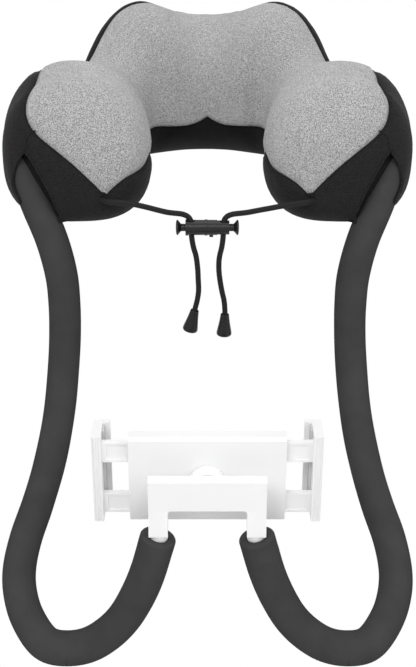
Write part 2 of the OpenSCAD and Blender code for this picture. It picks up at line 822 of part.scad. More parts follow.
module ring_nut() {
    start = plate_y - nut_gap;
    slope = (nut_d - nut_front_d) / 2 / nut_len;
    lean = atan(slope);
    color("white")
        difference() {
            union() {
                along_back(start - nut_len)
                    cylinder(r1 = nut_front_d / 2 - rib_r / 2, r2 = nut_d / 2 - rib_r, h = nut_len);
                for (i = [0:nut_ribs - 1])
                    along_back(start - nut_len)
                        rotate([0, 0, 360 * i / nut_ribs])
                            translate([nut_front_d / 2 - rib_r, 0, 0])
                                rotate([0, lean, 0])
                                    cylinder(r = rib_r, h = nut_len * 0.96, $fn = 16);
            }
            along_back(start - nut_len + nut_lip)
                cylinder(r = boss_r + slip_gap, h = nut_len);
            along_back(start - nut_len - cut)
                cylinder(r = nut_mouth_r, h = nut_len);
            along_back(start - nut_len - cut)
                cylinder(r = nut_front_d / 2 - nut_rim, h = nut_hollow + cut);
        }
}

// Clamp housing, in its own frame: x across, y to the wearer, z up, origin at the middle of
// the camera-side face
module at_plate() {
    translate([0, plate_y, -clamp_drop])
        children();
}
rail_mid = rail_y - plate_y;
setback_r = (plate_h * plate_h / 4 + plate_setback * plate_setback) / (2 * plate_setback);
arc_steps = 6;
function shell_outline(inset) =
    let (half = plate_h / 2 - inset,
         r = setback_r - inset,
         sweep = asin(half / r))
    concat(
        [[rail_mid, half], [plate_edge + inset, half], [inset, half - plate_edge]],
        [for (i = [0:arc_steps]) [inset + r * (1 - cos(sweep * i / arc_steps)), -r * sin(sweep * i / arc_steps)]],
        [[rail_mid, -half]]);
module extruded_across(width) {
    translate([-width / 2, 0, 0])
        rotate([90, 0, 90])
            linear_extrude(width)
                children();
}
module rail_slots() {
    for (z = [-rail_pitch / 2, rail_pitch / 2])
        translate([-plate_w, rail_mid - rail_t / 2 - rail_slot_gap, z - rail_h / 2 - rail_slot_gap])
            cube([2 * plate_w, rail_t + 2 * rail_slot_gap, rail_h + 2 * rail_slot_gap]);
}
module at_screws() {
    for (x = [-post_x, post_x], z = [-post_dz, post_dz])
        translate([x, 0, z])
            rotate([-90, 0, 0])
                children();
}
module back_shell() {
    cup_len = shell_wall + cup_floor_t + seat_gap;
    color("white")
        at_plate()
            difference() {
                union() {
                    difference() {
                        extruded_across(plate_w)
                            polygon(shell_outline(0));
                        extruded_across(plate_w - 2 * shell_wall)
                            polygon(concat([[rail_mid + cut, plate_h / 2 - shell_wall]],
                                shell_outline(shell_wall),
                                [[rail_mid + cut, shell_wall - plate_h / 2]]));
                    }
                    rotate([90, 0, 0])
                        translate([0, 0, -shell_wall / 2])
                            cylinder(r = boss_r, h = boss_len + shell_wall / 2);
                    rotate([-90, 0, 0])
                        translate([0, 0, shell_wall / 2])
                            cylinder(r = liner_r + cup_rim, h = cup_len + slip_gap - shell_wall / 2);
                    at_screws()
                        translate([0, 0, shell_wall / 2])
                            cylinder(d = post_d, h = rail_mid - shell_wall / 2);
                    for (side = [-1, 1])
                        translate([side * rib_x - rod_rib_w / 2, shell_wall / 2, -rod_rib_h / 2])
                            cube([rod_rib_w, rail_mid + rod_d / 2 + cup_floor_t - shell_wall / 2, rod_rib_h]);
                }
                rotate([90, 0, 0])
                    translate([0, 0, -shell_wall - seat_gap - slip_gap])
                        cylinder(r = liner_r + slip_gap, h = boss_len + 2 * shell_wall);
                for (i = [0:boss_slots - 1])
                    rotate([0, 360 * i / boss_slots + 45, 0])
                        translate([-boss_slot_w / 2, -boss_len - cut, 0])
                            cube([boss_slot_w, boss_slot_len + cut, 2 * boss_r]);
                rail_slots();
                at_screws()
                    translate([0, 0, shell_wall])
                        cylinder(r = screw_r + slip_gap, h = plate_t, $fn = 24);
                translate([-plate_w, rail_mid, 0])
                    rotate([0, 90, 0])
                        cylinder(d = rod_d + slip_gap, h = 2 * plate_w, $fn = 32);
            }
}
module front_shell() {
    half = plate_h / 2;
    color("white")
        at_plate()
            difference() {
                union() {
                    difference() {
                        translate([-plate_w / 2, rail_mid, -half])
                            cube([plate_w, plate_t - rail_mid, plate_h]);
                        translate([shell_wall - plate_w / 2, rail_mid - cut, shell_wall - half])
                            cube([plate_w - 2 * shell_wall, plate_t - rail_mid - shell_wall + cut,
                                plate_h - 2 * shell_wall]);
                    }
                    at_screws()
                        translate([0, 0, rail_mid])
                            cylinder(d = post_d, h = plate_t - rail_mid - shell_wall / 2);
                }
                translate([pad_margin - plate_w / 2, plate_t - pad_recess, pad_margin - half])
                    cube([plate_w - 2 * pad_margin, pad_recess + cut, plate_h - 2 * pad_margin]);
                rail_slots();
                at_screws()
                    translate([0, 0, rail_mid - cut])
                        cylinder(r = screw_r + seat_gap, h = plate_t, $fn = 24);
                at_screws()
                    translate([0, 0, plate_t - pad_recess - screw_head_h])
                        cylinder(r = screw_head_r + seat_gap, h = plate_t, $fn = 32);
            }
}
module front_pad() {
    fit = pad_margin + slip_gap;
    color("lightgray")
        at_plate()
            translate([fit - plate_w / 2, plate_t - pad_recess, fit - plate_h / 2])
                cube([plate_w - 2 * fit, front_pad_t, plate_h - 2 * fit]);
}
module shell_screws() {
    color("silver")
        at_plate()
            at_screws()
                translate([0, 0, plate_t - pad_recess - screw_head_h]) {
                    cylinder(r = screw_head_r, h = screw_head_h, $fn = 32);
                    translate([0, 0, -screw_len])
                        cylinder(r = screw_r, h = screw_len + slip_gap, $fn = 24);
                }
}
module guide_rod() {
    reach = rib_x + rod_rib_w / 2 + rod_past_rib;
    color("silver")
        at_plate()
            translate([-reach, rail_mid, 0])
                rotate([0, 90, 0])
                    cylinder(d = rod_d, h = 2 * reach, $fn = 32);
}

// Jaws, drawn for the right side
jaw_in = jaw_gap / 2 + jaw_pad_t;
rail_end = jaw_gap / 2 - jaw_in_travel + cut / 2 - (plate_w / 2 + cut / 2) + jaw_in_travel;
crossbar_in = jaw_in_travel + cut / 2;
module jaw(side) {
    front = jaw_front_gap;
    back = jaw_front_gap + jaw_depth;
    out = jaw_in + jaw_wall;
    lip_x = jaw_in - jaw_lip_reach;
    color("white")
        at_plate()
            on_side(-side) {
                difference() {
                    translate([0, 0, -jaw_h / 2])
                        linear_extrude(jaw_h)
                            polygon([
                                [jaw_in, front], [out - jaw_edge, front], [out, front + jaw_edge],
                                [out, back - jaw_edge], [out - jaw_edge, back], [lip_x, back],
                                [lip_x, back - jaw_lip_t], [jaw_in, back - jaw_lip_t]]);
                    for (i = [1:groove_count])
                        translate([jaw_in + jaw_wall * i / (groove_count + 1) - groove_w / 2, front - cut, -jaw_h])
                            cube([groove_w, groove_d + cut, 2 * jaw_h]);
                    for (i = [1:groove_count])
                        translate([out - groove_d, front + jaw_depth * i / (groove_count + 1), -jaw_h])
                            cube([groove_d + cut, groove_w, 2 * jaw_h]);
                }
                for (z = [-rail_pitch / 2, rail_pitch / 2])
                    difference() {
                        translate([crossbar_in, rail_mid - rail_t / 2, z - rail_h / 2])
                            cube([jaw_in + jaw_wall / 2 - crossbar_in, rail_t, rail_h]);
                        translate([crossbar_in + crossbar_w, rail_mid - rail_t / 2 - cut, z - rail_h / 2 + rail_lip])
                            cube([jaw_in - crossbar_in - 2 * crossbar_w, rail_groove_d + cut, rail_h - 2 * rail_lip]);
                    }
                difference() {
                    translate([crossbar_in, rail_mid - rail_t / 2, -rail_pitch / 2])
                        cube([crossbar_w, rail_t, rail_pitch]);
                    translate([0, rail_mid, 0])
                        rotate([0, 90, 0])
                            cylinder(r = rod_d / 2 + slip_gap, h = plate_w, $fn = 32);
                }
            }
}
module jaw_pad(side) {
    pad_front = plate_t + jaw_pad_t;
    color("lightgray")
        at_plate()
            on_side(-side)
                translate([jaw_gap / 2, pad_front, jaw_edge - jaw_h / 2])
                    cube([jaw_pad_t, jaw_front_gap + jaw_depth - jaw_lip_t - pad_front, jaw_h - 2 * jaw_edge]);
}
module jaw_spring(side) {
    from = crossbar_in + crossbar_w;
    to = rib_x - rod_rib_w / 2;
    inner_r = rod_d / 2 + slip_gap;
    color("silver")
        at_plate()
            on_side(-side)
                translate([from, rail_mid, 0])
                    rotate([0, 90, 0])
                        difference() {
                            cylinder(r = inner_r + spring_wall, h = to - from, $fn = 32);
                            translate([0, 0, -cut])
                                cylinder(r = inner_r, h = to, $fn = 32);
                        }
}

pillow_core();
top_panel();
base_panel();
pocket_liner(-1);  // pocket_liner_left
pocket_liner(1);  // pocket_liner_right
zip_chain();
zip_slider();
zip_pull();
cord_tube(left_cord_route);  // draw_cord_left
cord_tube(right_cord_route);  // draw_cord_right
cord_end(left_cord_route, bell_tilt_left);  // cord_end_left
cord_end(right_cord_route, bell_tilt_right);  // cord_end_right
lock_barrel(-1);  // lock_barrel_left
lock_barrel(1);  // lock_barrel_right
lock_plunger(-1);  // lock_plunger_left
lock_plunger(1);  // lock_plunger_right
lock_spring(-1);  // lock_spring_left
lock_spring(1);  // lock_spring_right
sleeve(-1, pocket_frames);  // sleeve_pocket_left
sleeve(1, pocket_frames);  // sleeve_pocket_right
sleeve(-1, arm_part(flex_from, flex_to));  // sleeve_flex_left
sleeve(1, arm_part(flex_from, flex_to));  // sleeve_flex_right
sleeve(-1, arm_part(flex_to, route_last));  // sleeve_main_left
sleeve(1, arm_part(flex_to, route_last));  // sleeve_main_right
sleeve_hook(-1);  // sleeve_hook_left
sleeve_hook(1);  // sleeve_hook_right
gooseneck_pocket(-1);  // gooseneck_pocket_left
gooseneck_pocket(1);  // gooseneck_pocket_right
gooseneck(-1, arm_part(flex_from, flex_to));  // gooseneck_flex_left
gooseneck(1, arm_part(flex_from, flex_to));  // gooseneck_flex_right
gooseneck(-1, arm_part(flex_to, route_last));  // gooseneck_main_left
gooseneck(1, arm_part(flex_to, route_last));  // gooseneck_main_right
gooseneck_hook(-1);  // gooseneck_hook_left
gooseneck_hook(1);  // gooseneck_hook_right
arm_end_cap(-1);  // arm_end_cap_left
arm_end_cap(1);  // arm_end_cap_right
bracket();
ball_stud();
ball_liner();
ring_nut();
back_shell();
front_shell();
front_pad();
shell_screws();
guide_rod();
jaw(-1);  // jaw_left
jaw(1);  // jaw_right
jaw_pad(-1);  // jaw_pad_left
jaw_pad(1);  // jaw_pad_right
jaw_spring(-1);  // jaw_spring_left
jaw_spring(1);  // jaw_spring_right
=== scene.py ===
"""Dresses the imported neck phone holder: the padded pillow, its draw cord, the foam arms and the
white clamp, with their materials, a camera and a plain studio. Metres, +Z up, -Y to the camera."""

import math
from contextlib import contextmanager

import bmesh
import bpy
import numpy as np
from bpy.props import FloatProperty, FloatVectorProperty, IntProperty, PointerProperty
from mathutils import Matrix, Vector


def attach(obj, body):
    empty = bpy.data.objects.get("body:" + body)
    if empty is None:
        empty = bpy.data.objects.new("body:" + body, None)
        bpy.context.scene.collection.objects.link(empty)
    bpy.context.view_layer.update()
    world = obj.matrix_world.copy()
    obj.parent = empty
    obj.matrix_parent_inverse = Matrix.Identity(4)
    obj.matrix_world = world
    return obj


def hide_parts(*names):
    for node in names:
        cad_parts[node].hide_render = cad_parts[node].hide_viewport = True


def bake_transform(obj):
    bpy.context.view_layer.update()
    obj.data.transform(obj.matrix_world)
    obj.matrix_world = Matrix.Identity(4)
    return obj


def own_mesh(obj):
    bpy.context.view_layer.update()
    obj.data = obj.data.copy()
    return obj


bl_info = {
    "name": "Neck phone holder",
    "version": (1, 0, 0),
    "blender": (4, 5, 0),
    "location": "View3D > Sidebar > Neck Holder",
    "description": "Pillow, padded arms and phone clamp around the fixed frame",
    "category": "Object",
}

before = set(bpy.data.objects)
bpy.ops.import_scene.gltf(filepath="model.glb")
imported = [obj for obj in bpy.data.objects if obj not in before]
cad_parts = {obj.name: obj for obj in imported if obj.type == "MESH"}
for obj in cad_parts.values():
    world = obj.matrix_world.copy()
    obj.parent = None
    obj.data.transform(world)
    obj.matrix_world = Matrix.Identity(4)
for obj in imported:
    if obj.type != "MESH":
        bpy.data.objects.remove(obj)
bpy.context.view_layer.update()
MM = 0.001
SIDES = (("left", -1), ("right", 1))
UP = np.array([0.0, 0.0, 1.0])


# Shader maths

class Socket:
    """A shader value with arithmetic: each operator adds one Math node to the tree."""

    def __init__(self, tree, out):
        self.tree = tree
        self.out = out

    def math(self, operation, other):
        return self.tree.node("ShaderNodeMath", {"operation": operation}, {0: self, 1: other})

    def __add__(self, other):
        return self.math("ADD", other)

    def __sub__(self, other):
        return self.math("SUBTRACT", other)

    def __rsub__(self, other):
        return self.tree.node("ShaderNodeMath", {"operation": "SUBTRACT"}, {0: other, 1: self})

    def __mul__(self, other):
        return self.math("MULTIPLY", other)

    def __pow__(self, other):
        return self.math("POWER", other)

    __radd__, __rmul__ = __add__, __mul__

    def clamp(self):
        """Limited to 0 and 1."""
        return self.tree.node("ShaderNodeClamp", {}, {"Value": self})


class Tree:
    """A node tree to which nodes are added with their settings and values."""

    def __init__(self, tree):
        self.nodes = tree.nodes
        self.links = tree.links

    def node(self, kind, settings, values, output=0):
        """Adds a node, makes its settings, then fills its sockets with numbers or links."""
        made = self.nodes.new(kind)
        for key, value in settings.items():
            if key == "stops":
                for element, (place, colour) in zip(made.color_ramp.elements, value):
                    element.position, element.color = place, colour
            else:
                setattr(made, key, value)
        for key, value in values.items():
            self.fill(made.inputs[key], value)
        return Socket(self, made.outputs[output])

    def fill(self, place, value):
        """Links a value to an input or sets it there; a colour gets its alpha."""
        if isinstance(value, Socket):
            self.links.new(value.out, place)
        else:
            place.default_value = (*value, 1) if place.type == "RGBA" else value


class Surface(Tree):
    """One material's node tree, with a Principled shader that feeds its output."""

    def __init__(self, name, **constants):
        self.material = bpy.data.materials.new(name)
        self.material.use_nodes = True
        super().__init__(self.material.node_tree)
        self.nodes.clear()
        self.end = self.nodes.new("ShaderNodeOutputMaterial")
        self.shader = self.nodes.new("ShaderNodeBsdfPrincipled")
        self.links.new(self.shader.outputs[0], self.end.inputs[0])
        for key, value in constants.items():
            self.shader.inputs[key.replace("_", " ")].default_value = value

    def coords(self, kind="Object"):
        return self.node("ShaderNodeTexCoord", {}, {}, output=kind)

    def scaled(self, vector, scale):
        return self.node("ShaderNodeMapping", {}, {"Vector": vector, "Scale": scale})

    def noise(self, vector, scale, detail, roughness):
        return self.node("ShaderNodeTexNoise", {}, {
            "Vector": vector, "Scale": scale, "Detail": detail, "Roughness": roughness})

    def contrast(self, value, black, white):
        """A number that rises from 0 to 1 between two levels of the value."""
        stops = ((black, (0, 0, 0, 1)), (white, (1, 1, 1, 1)))
        colour = self.node("ShaderNodeValToRGB", {"stops": stops}, {"Fac": value})
        return self.node("ShaderNodeRGBToBW", {}, {"Color": colour})

    def tones(self, level, colour, dark, light):
        """Base colour that goes with the level from a dark share of the colour to a light one."""
        low, high = (tuple(min(c * share, 1.0) for c in colour) for share in (dark, light))
        self.feed("Base Color", self.node(
            "ShaderNodeMix", {"data_type": "RGBA"}, {0: level, 6: low, 7: high}, output=2))

    def bump(self, height, distance, strength):
        self.feed("Normal", self.node("ShaderNodeBump", {}, {
            "Height": height, "Distance": distance, "Strength": strength}))

    def feed(self, name, value):
        self.fill(self.shader.inputs[name], value)


def velour(colour):
    """Pale heather velour: short worm-like tufts a third of a millimetre wide, brushed in soft
    patches."""
    s = Surface("heather_velour", Roughness=0.85, Sheen_Weight=0.25, Sheen_Roughness=0.5)
    at = s.coords()
    bend = s.node("ShaderNodeTexNoise", {}, {"Vector": at, "Scale": 700.0}, output=1)
    bend = s.node("ShaderNodeVectorMath", {"operation": "SCALE"}, {0: bend, "Scale": 0.0012})
    warped = s.node("ShaderNodeVectorMath", {"operation": "ADD"}, {0: at, 1: bend})
    tufts = s.noise(warped, 1600.0, 1.5, 0.5)
    speck = s.noise(at, 2300.0, 1.0, 0.5)
    patches = s.noise(at, 22.0, 3.0, 0.55)
    level = s.contrast(tufts, 0.4, 0.6) * 0.8 + speck * 0.2
    s.tones((level * 0.9 + patches * 0.12).clamp(), colour, 0.3, 1.75)
    s.bump(level + patches * 0.8, 0.0006, 0.75)
    return s.material


def knit(name, colour, rib=0.0009):
    """Fine dark knit: small loops in faint rows, with painted shade within 80 mm of the neck's
    middle, where the opening shades it."""
    s = Surface(name, Roughness=0.8, Sheen_Weight=0.05, Sheen_Roughness=0.4,
                Specular_IOR_Level=0.12)
    at = s.coords()
    grain = s.contrast(s.noise(at, 1100.0, 2.0, 0.6), 0.35, 0.65)
    mottle = s.noise(at, 160.0, 3.0, 0.6)
    row = s.node("ShaderNodeTexWave", {"bands_direction": "Z"}, {
        "Vector": at, "Scale": 0.1 / rib, "Distortion": 6.0, "Detail": 2.0, "Detail Scale": 8.0})
    level = grain * 0.88 + row * 0.12
    # painted shade: the colour goes dark within 80 mm of the neck's middle, where the opening
    # shades the cloth
    x, y = (s.node("ShaderNodeSeparateXYZ", {}, {"Vector": at}, output=i) for i in (0, 1))
    y = y - 0.01
    beyond_painted_shade = (((x * x + y * y) ** 0.5 - 0.08) * 80).clamp()
    s.tones((level * 0.75 + mottle * 0.3 - 0.02).clamp() * beyond_painted_shade, colour, 0.42, 2.05)
    s.bump(level, 0.0005, 0.7)
    return s.material


def foam(colour):
    """Dark closed-cell foam with a smooth moulded skin: soft waves and fine pores."""
    s = Surface("black_foam", Specular_IOR_Level=0.0)
    at = s.coords()
    cells = s.node("ShaderNodeTexVoronoi", {}, {"Vector": at, "Scale": 1400.0})
    waves = s.noise(at, 45.0, 3.0, 0.5)
    pores = s.contrast(cells, 0.0, 0.35)
    s.tones((pores * 0.3 + waves * 0.7).clamp(), colour, 0.62, 1.25)
    s.feed("Roughness", 0.5 + waves * 0.14)
    s.bump(pores * 0.25 + waves * 1.5, 0.0003, 0.5)
    return s.material


def moulded(name, colour, roughness, coat=0.0, grain=0.15, shine=0.5):
    """Moulded plastic: even colour with a trace of flow, fine eggshell grain and soft gloss."""
    s = Surface(name, Coat_Weight=coat, Coat_Roughness=0.12, Specular_IOR_Level=shine)
    at = s.coords()
    flow = s.noise(at, 18.0, 3.0, 0.5)
    fine = s.noise(at, 1500.0, 2.0, 0.5)
    s.tones(flow, colour, 0.965, 1.02)
    s.feed("Roughness", roughness - 0.05 + flow * 0.1)
    s.bump(fine * grain + flow * 0.2, 0.0001, 0.5)
    return s.material


def metal(name, colour, roughness):
    """Drawn or lacquered metal with fine lines."""
    s = Surface(name, Metallic=1.0)
    lines = s.noise(s.scaled(s.coords(), (300.0, 300.0, 2500.0)), 1.0, 3.0, 0.6)
    s.tones(lines, colour, 0.8, 1.0)
    s.feed("Roughness", roughness + lines * 0.15)
    s.bump(lines, 0.00005, 0.4)
    return s.material


def braid(colour):
    """Round braided cord: two sets of strands that cross, read from the tube's own map."""
    s = Surface("black_cord", Roughness=0.6, Specular_IOR_Level=0.15)
    uv = s.coords("UV")
    one, two = (s.node("ShaderNodeTexWave", {"bands_direction": "DIAGONAL"}, {
        "Vector": s.scaled(uv, (way, 1.0, 1.0)), "Scale": 3.0}) for way in (1.0, -1.0))
    level = one.math("MAXIMUM", two)
    s.tones(level, colour, 0.45, 1.6)
    s.bump(level, 0.0004, 0.8)
    return s.material


# Meshes from arrays

def new_object(name, data):
    """An object of the scene with the given data."""
    made = bpy.data.objects.new(name, data)
    bpy.context.scene.collection.objects.link(made)
    return made


def new_mesh(name, points, faces, uv=None):
    """An object whose mesh has the given points and faces."""
    mesh = bpy.data.meshes.new(name)
    faces = faces.tolist() if isinstance(faces, np.ndarray) else faces
    mesh.from_pydata(np.asarray(points).tolist(), [], faces)
    if uv is not None:
        layer = mesh.uv_layers.new(name="UVMap")
        corner = np.empty(len(mesh.loops), np.int32)
        mesh.loops.foreach_get("vertex_index", corner)
        layer.data.foreach_set("uv", np.asarray(uv)[corner].astype(np.float32).ravel())
    mesh.polygons.foreach_set("use_smooth", np.ones(len(mesh.polygons), bool))
    mesh.validate()
    return new_object(name, mesh)


def grid_faces(rows, cols, wrap=False):
    """Quads of a grid whose point (i, j) has the number i * cols + j; wrapped, its last column
    joins its first."""
    a = np.arange(rows - 1)[:, None] * cols
    j = np.arange(cols if wrap else cols - 1)[None, :]
    k = (j + 1) % cols
    return np.stack([a + j, a + cols + j, a + cols + k, a + k], -1).reshape(-1, 4)


@contextmanager
def edited(piece):
    """The piece's mesh, open for edits that are written back at the end."""
    mesh = bmesh.new()
    mesh.from_mesh(piece.data)
    yield mesh
    mesh.to_mesh(piece.data)
    mesh.free()


def face_centres(mesh):
    return np.array([face.calc_center_median() for face in mesh.faces])


def chosen_faces(mesh, mask):
    mesh.faces.ensure_lookup_table()
    return [mesh.faces[i] for i in np.flatnonzero(mask)]


def flip_outwards(piece):
    """Joins doubles and points every face outwards."""
    with edited(piece) as mesh:
        bmesh.ops.remove_doubles(mesh, verts=mesh.verts, dist=1e-6)
        bmesh.ops.recalc_face_normals(mesh, faces=mesh.faces)


def grid_piece(name, points, wrap=False, uv=None):
    """A surface through a grid of points."""
    return new_mesh(name, points.reshape(-1, 3), grid_faces(*points.shape[:2], wrap), uv)


def ring_piece(name, rings):
    """A surface through rows of rings that close round, with its faces outwards."""
    piece = grid_piece(name, rings, True)
    flip_outwards(piece)
    return piece


def dress(piece, material, body=None, replaces=()):
    """Gives a piece its material, its body and what it stands for."""
    piece.data.materials.clear()
    piece.data.materials.append(material)
    if body:
        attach(piece, body)
    if replaces:
        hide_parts(*replaces)
    return piece


def modify(piece, name, kind, **settings):
    """Adds a modifier with its settings."""
    made = piece.modifiers.new(name, kind)
    for key, value in settings.items():
        setattr(made, key, value)
    return made


def unit(v):
    return v / np.linalg.norm(v, axis=-1, keepdims=True)


# The pillow's surface

# Rows of the spine: place, half thickness and top, as shares of the pillow's own sizes
PILLOW_SPINE = np.array([
    [0, 0.459, 0.383, 0.899], [-0.273, 0.449, 0.404, 0.926], [-0.559, 0.403, 0.407, 1.006],
    [-0.75, 0.336, 0.308, 0.933], [-0.876, 0.24, 0.306, 0.69], [-0.961, 0.101, 0.358, 0.706],
    [-1.003, -0.036, 0.455, 0.766], [-1.013, -0.153, 0.488, 0.868], [-0.994, -0.245, 0.494, 0.832]]
) * (104, 296, 120, 139)
# Angles of the two seams round the pillow in degrees, from the back's middle to the tip
INNER_SEAM = np.array([212, 208.5, 208, 206, 202, 198, 198, 198, 180, 182, 168], float)
OUTER_SEAM = np.array([80, 85, 87, 72, 54, 60, 62, 62, 57, 40, 50], float)
BACK_PEAK = 14.5    # degrees by which the inner seam rises in the back's middle
PEAK_SHARE = 0.06   # share of the pillow over which that peak fades
NOSE = (-79.0, -114.0, 30.0)   # the left tip, in millimetres
CAP_START = 0.8     # share of the pillow at which its rounded front starts
LAST_ROW = 0.9985   # share at which the last row stands, just short of the tip
CAP_POWER = 0.74    # how blunt the rounded front is
TOP_POWER, BASE_POWER = 2.2, 2.8   # of the section's superellipse, above and below
WIDEST = 0.456      # share of the height at which a section is widest


def catmull(table, t, before=None):
    """Catmull-Rom spline through a table's rows at t = 0, 1, 2 and so on."""
    table = np.asarray(table, float)
    last = len(table) - 1
    before = 2 * table[0] - table[1] if before is None else before
    rows = np.concatenate([[before], table, [2 * table[-1] - table[-2]]])
    t = np.clip(np.asarray(t, float), 0, last)
    i = np.minimum(np.floor(t).astype(int), last - 1)
    w = t - i
    if rows.ndim > 1:
        w = w[..., None]
    a, b, c, d = rows[i], rows[i + 1], rows[i + 2], rows[i + 3]
    return (2 * b + (c - a) * w + (2 * a - 5 * b + 4 * c - d) * w**2
            + (3 * b - 3 * c + d - a) * w**3) / 2


def pillow_skin(s, v, inset=0.0):
    """The pillow's skin: s runs from -1 at the left tip over 0 at the back to 1 at the right
    tip, v goes round in degrees from the outer side over the top. Each section is a superellipse
    on a Catmull-Rom spine; over the last fifth it shrinks with the cosine to the front tip."""
    s, v = np.broadcast_arrays(np.asarray(s, float), np.asarray(v, float))
    a = np.abs(s)
    last = len(PILLOW_SPINE) - 1
    t = np.minimum(a / CAP_START, 1) * last
    twin = PILLOW_SPINE[1] * np.array([-1, 1, 1, 1])
    row = catmull(PILLOW_SPINE, t, twin)
    e = 1e-3
    d = unit((catmull(PILLOW_SPINE, np.clip(t + e, 0, last), twin)
              - catmull(PILLOW_SPINE, np.clip(t - e, 0, last), twin))[..., :2])
    q = np.clip((a - CAP_START) / (1 - CAP_START), 0, 1) * np.pi / 2
    k = np.cos(q) ** CAP_POWER
    turn = np.radians(v)
    cs, sn = np.cos(turn), np.sin(turn)
    power = np.where(sn >= 0, TOP_POWER, BASE_POWER)
    r = (np.abs(cs) ** power + np.abs(sn) ** power) ** (-1 / power)
    mid = WIDEST * row[..., 3]
    across = cs * r * (row[..., 2] - inset) * k
    up = sn * r * np.where(sn >= 0, row[..., 3] - mid - inset, mid - inset) * k
    x = row[..., 0] + d[..., 1] * across + (1 - k) * (NOSE[0] - row[..., 0])
    y = row[..., 1] - d[..., 0] * across + np.sin(q) * (NOSE[1] + inset - PILLOW_SPINE[-1][1])
    z = mid + up + (1 - k) * (NOSE[2] - mid)
    return np.stack([np.where(s > 0, -x, x), y, z], -1) * MM


def skin_normals(grid):
    """Outward unit normals of a grid whose columns go round: the cross product of its two
    directions, turned away from each row's middle."""
    across = np.roll(grid, -1, 1) - np.roll(grid, 1, 1)
    normal = unit(np.cross(across, np.gradient(grid, axis=0)) + 1e-12)
    side = np.sum(normal * (grid - grid.mean(1, keepdims=True)), -1, keepdims=True)
    return np.where(side < 0, -normal, normal)


def seam_angles(s):
    """The outer and the inner seam's angle at s, the inner with a small peak in the back's
    middle that fades with the exponential of the distance."""
    outer, inner = (catmull(table, (len(table) - 1) * np.abs(s))
                    for table in (OUTER_SEAM, INNER_SEAM))
    return outer, inner - BACK_PEAK * np.exp(-np.abs(s) / PEAK_SHARE)


def front_share(rows):
    """Rows that crowd towards the tips, so that the rounded fronts stay smooth."""
    body = np.linspace(0, CAP_START, rows)[:-1]
    cap = CAP_START + (1 - CAP_START) * (1 - (1 - np.linspace(0, 1, rows // 2)) ** 1.6)
    half = np.concatenate([body, np.minimum(cap, LAST_ROW)])
    return np.concatenate([-half[:0:-1], half])


class PillowSettings(bpy.types.PropertyGroup):
    """What shapes and colours the pillow."""

    top_colour: FloatVectorProperty(
        name="Top colour", description="Colour of the velour top", subtype="COLOR", size=3,
        min=0, max=1, default=(0.42, 0.42, 0.42))
    side_colour: FloatVectorProperty(
        name="Side colour", description="Colour of the knit sides", subtype="COLOR", size=3,
        min=0, max=1, default=(0.013, 0.013, 0.0135))
    rows: IntProperty(
        name="Rows", description="Rows of faces along half of the pillow", min=30, max=120,
        default=64)
    pressure: FloatProperty(
        name="Stuffing pressure", description="How hard the foam presses on the cover", min=0,
        max=10, default=3.0)
    bulge: FloatProperty(
        name="Largest bulge", description="How far the cover may swell between its seams",
        subtype="DISTANCE", unit="LENGTH", min=0, max=0.02, default=0.006)
    seam_depth: FloatProperty(
        name="Seam depth", description="How far the stitched seams draw in", subtype="DISTANCE",
        unit="LENGTH", min=0, max=0.005, default=0.0022)


class ArmSettings(bpy.types.PropertyGroup):
    """What shapes and colours the padded arms."""

    colour: FloatVectorProperty(
        name="Foam colour", description="Colour of the foam sleeves", subtype="COLOR", size=3,
        min=0, max=1, default=(0.057, 0.057, 0.058))
    sides: IntProperty(name="Sides", description="Faces round a sleeve", min=16, max=96, default=56)


class ClampSettings(bpy.types.PropertyGroup):
    """What colours the clamp."""

    colour: FloatVectorProperty(
        name="Plastic colour", description="Colour of the clamp's plastic", subtype="COLOR", size=3,
        min=0, max=1, default=(0.94, 0.94, 0.94))
    edge: FloatProperty(
        name="Edge rounding", description="Rounding of the plastic's edges", subtype="DISTANCE",
        unit="LENGTH", min=0, max=0.002, default=0.0006)


class CordSettings(bpy.types.PropertyGroup):
    """What shapes and colours the draw cord."""

    colour: FloatVectorProperty(
        name="Cord colour", description="Colour of the braided cord", subtype="COLOR", size=3,
        min=0, max=1, default=(0.016, 0.016, 0.017))
    diameter: FloatProperty(
        name="Diameter", description="Diameter of the cord", subtype="DISTANCE", unit="LENGTH",
        min=0.002, max=0.006, default=0.0043)


# Stage

PHOTO_SIZE = (416, 667)
PHOTO_MIDDLE = (207.4, 333.5)   # the pixel on the camera's axis
FOCAL_PIXELS = 1179.0
CAMERA_PLACE = (0.0, -0.985, 0.320)
CAMERA_ELEVATION = 25.0
RISE_COS, RISE_SIN = (f(math.radians(CAMERA_ELEVATION)) for f in (math.cos, math.sin))
SENSOR = 36
FLOOR_HALF = 4
FLOOR_Z = -0.42
# Name, place, aim, size and power of each lamp
LAMPS = (("key", (-0.9, -1.5, 1.5), (0, -0.1, 0), (0.9, 0.9), 13),
         ("fill", (1.3, -1.2, 0.7), (0, -0.1, -0.05), (1.2, 1.2), 7),
         ("top", (0, 0.2, 1.6), (0, 0, 0), (1.4, 1.0), 8),
         ("strip", (0, -1.18, 0.92), (0, -0.12, 0), (0.8, 0.25), 3.5))


def directly_seen(tree):
    """1 to the camera, to gloss and through glass, and 0 to light that bounces."""
    path = tree.nodes.new("ShaderNodeLightPath")
    camera, gloss, glass = (Socket(tree, path.outputs[f"Is {ray} Ray"])
                            for ray in ("Camera", "Glossy", "Transmission"))
    return (camera + gloss + glass).clamp()


def studio_material(name, colour):
    """White to the camera and to gloss, and plain pale to the light that it bounces."""
    s = Surface(name)
    s.nodes.remove(s.shader)
    glow = s.node("ShaderNodeEmission", {}, {"Color": (1, 1, 1)})
    plain = s.node("ShaderNodeBsdfDiffuse", {}, {"Color": colour})
    both = s.node("ShaderNodeMixShader", {}, {0: directly_seen(s), 1: plain, 2: glow})
    s.links.new(both.out, s.end.inputs[0])
    return s.material


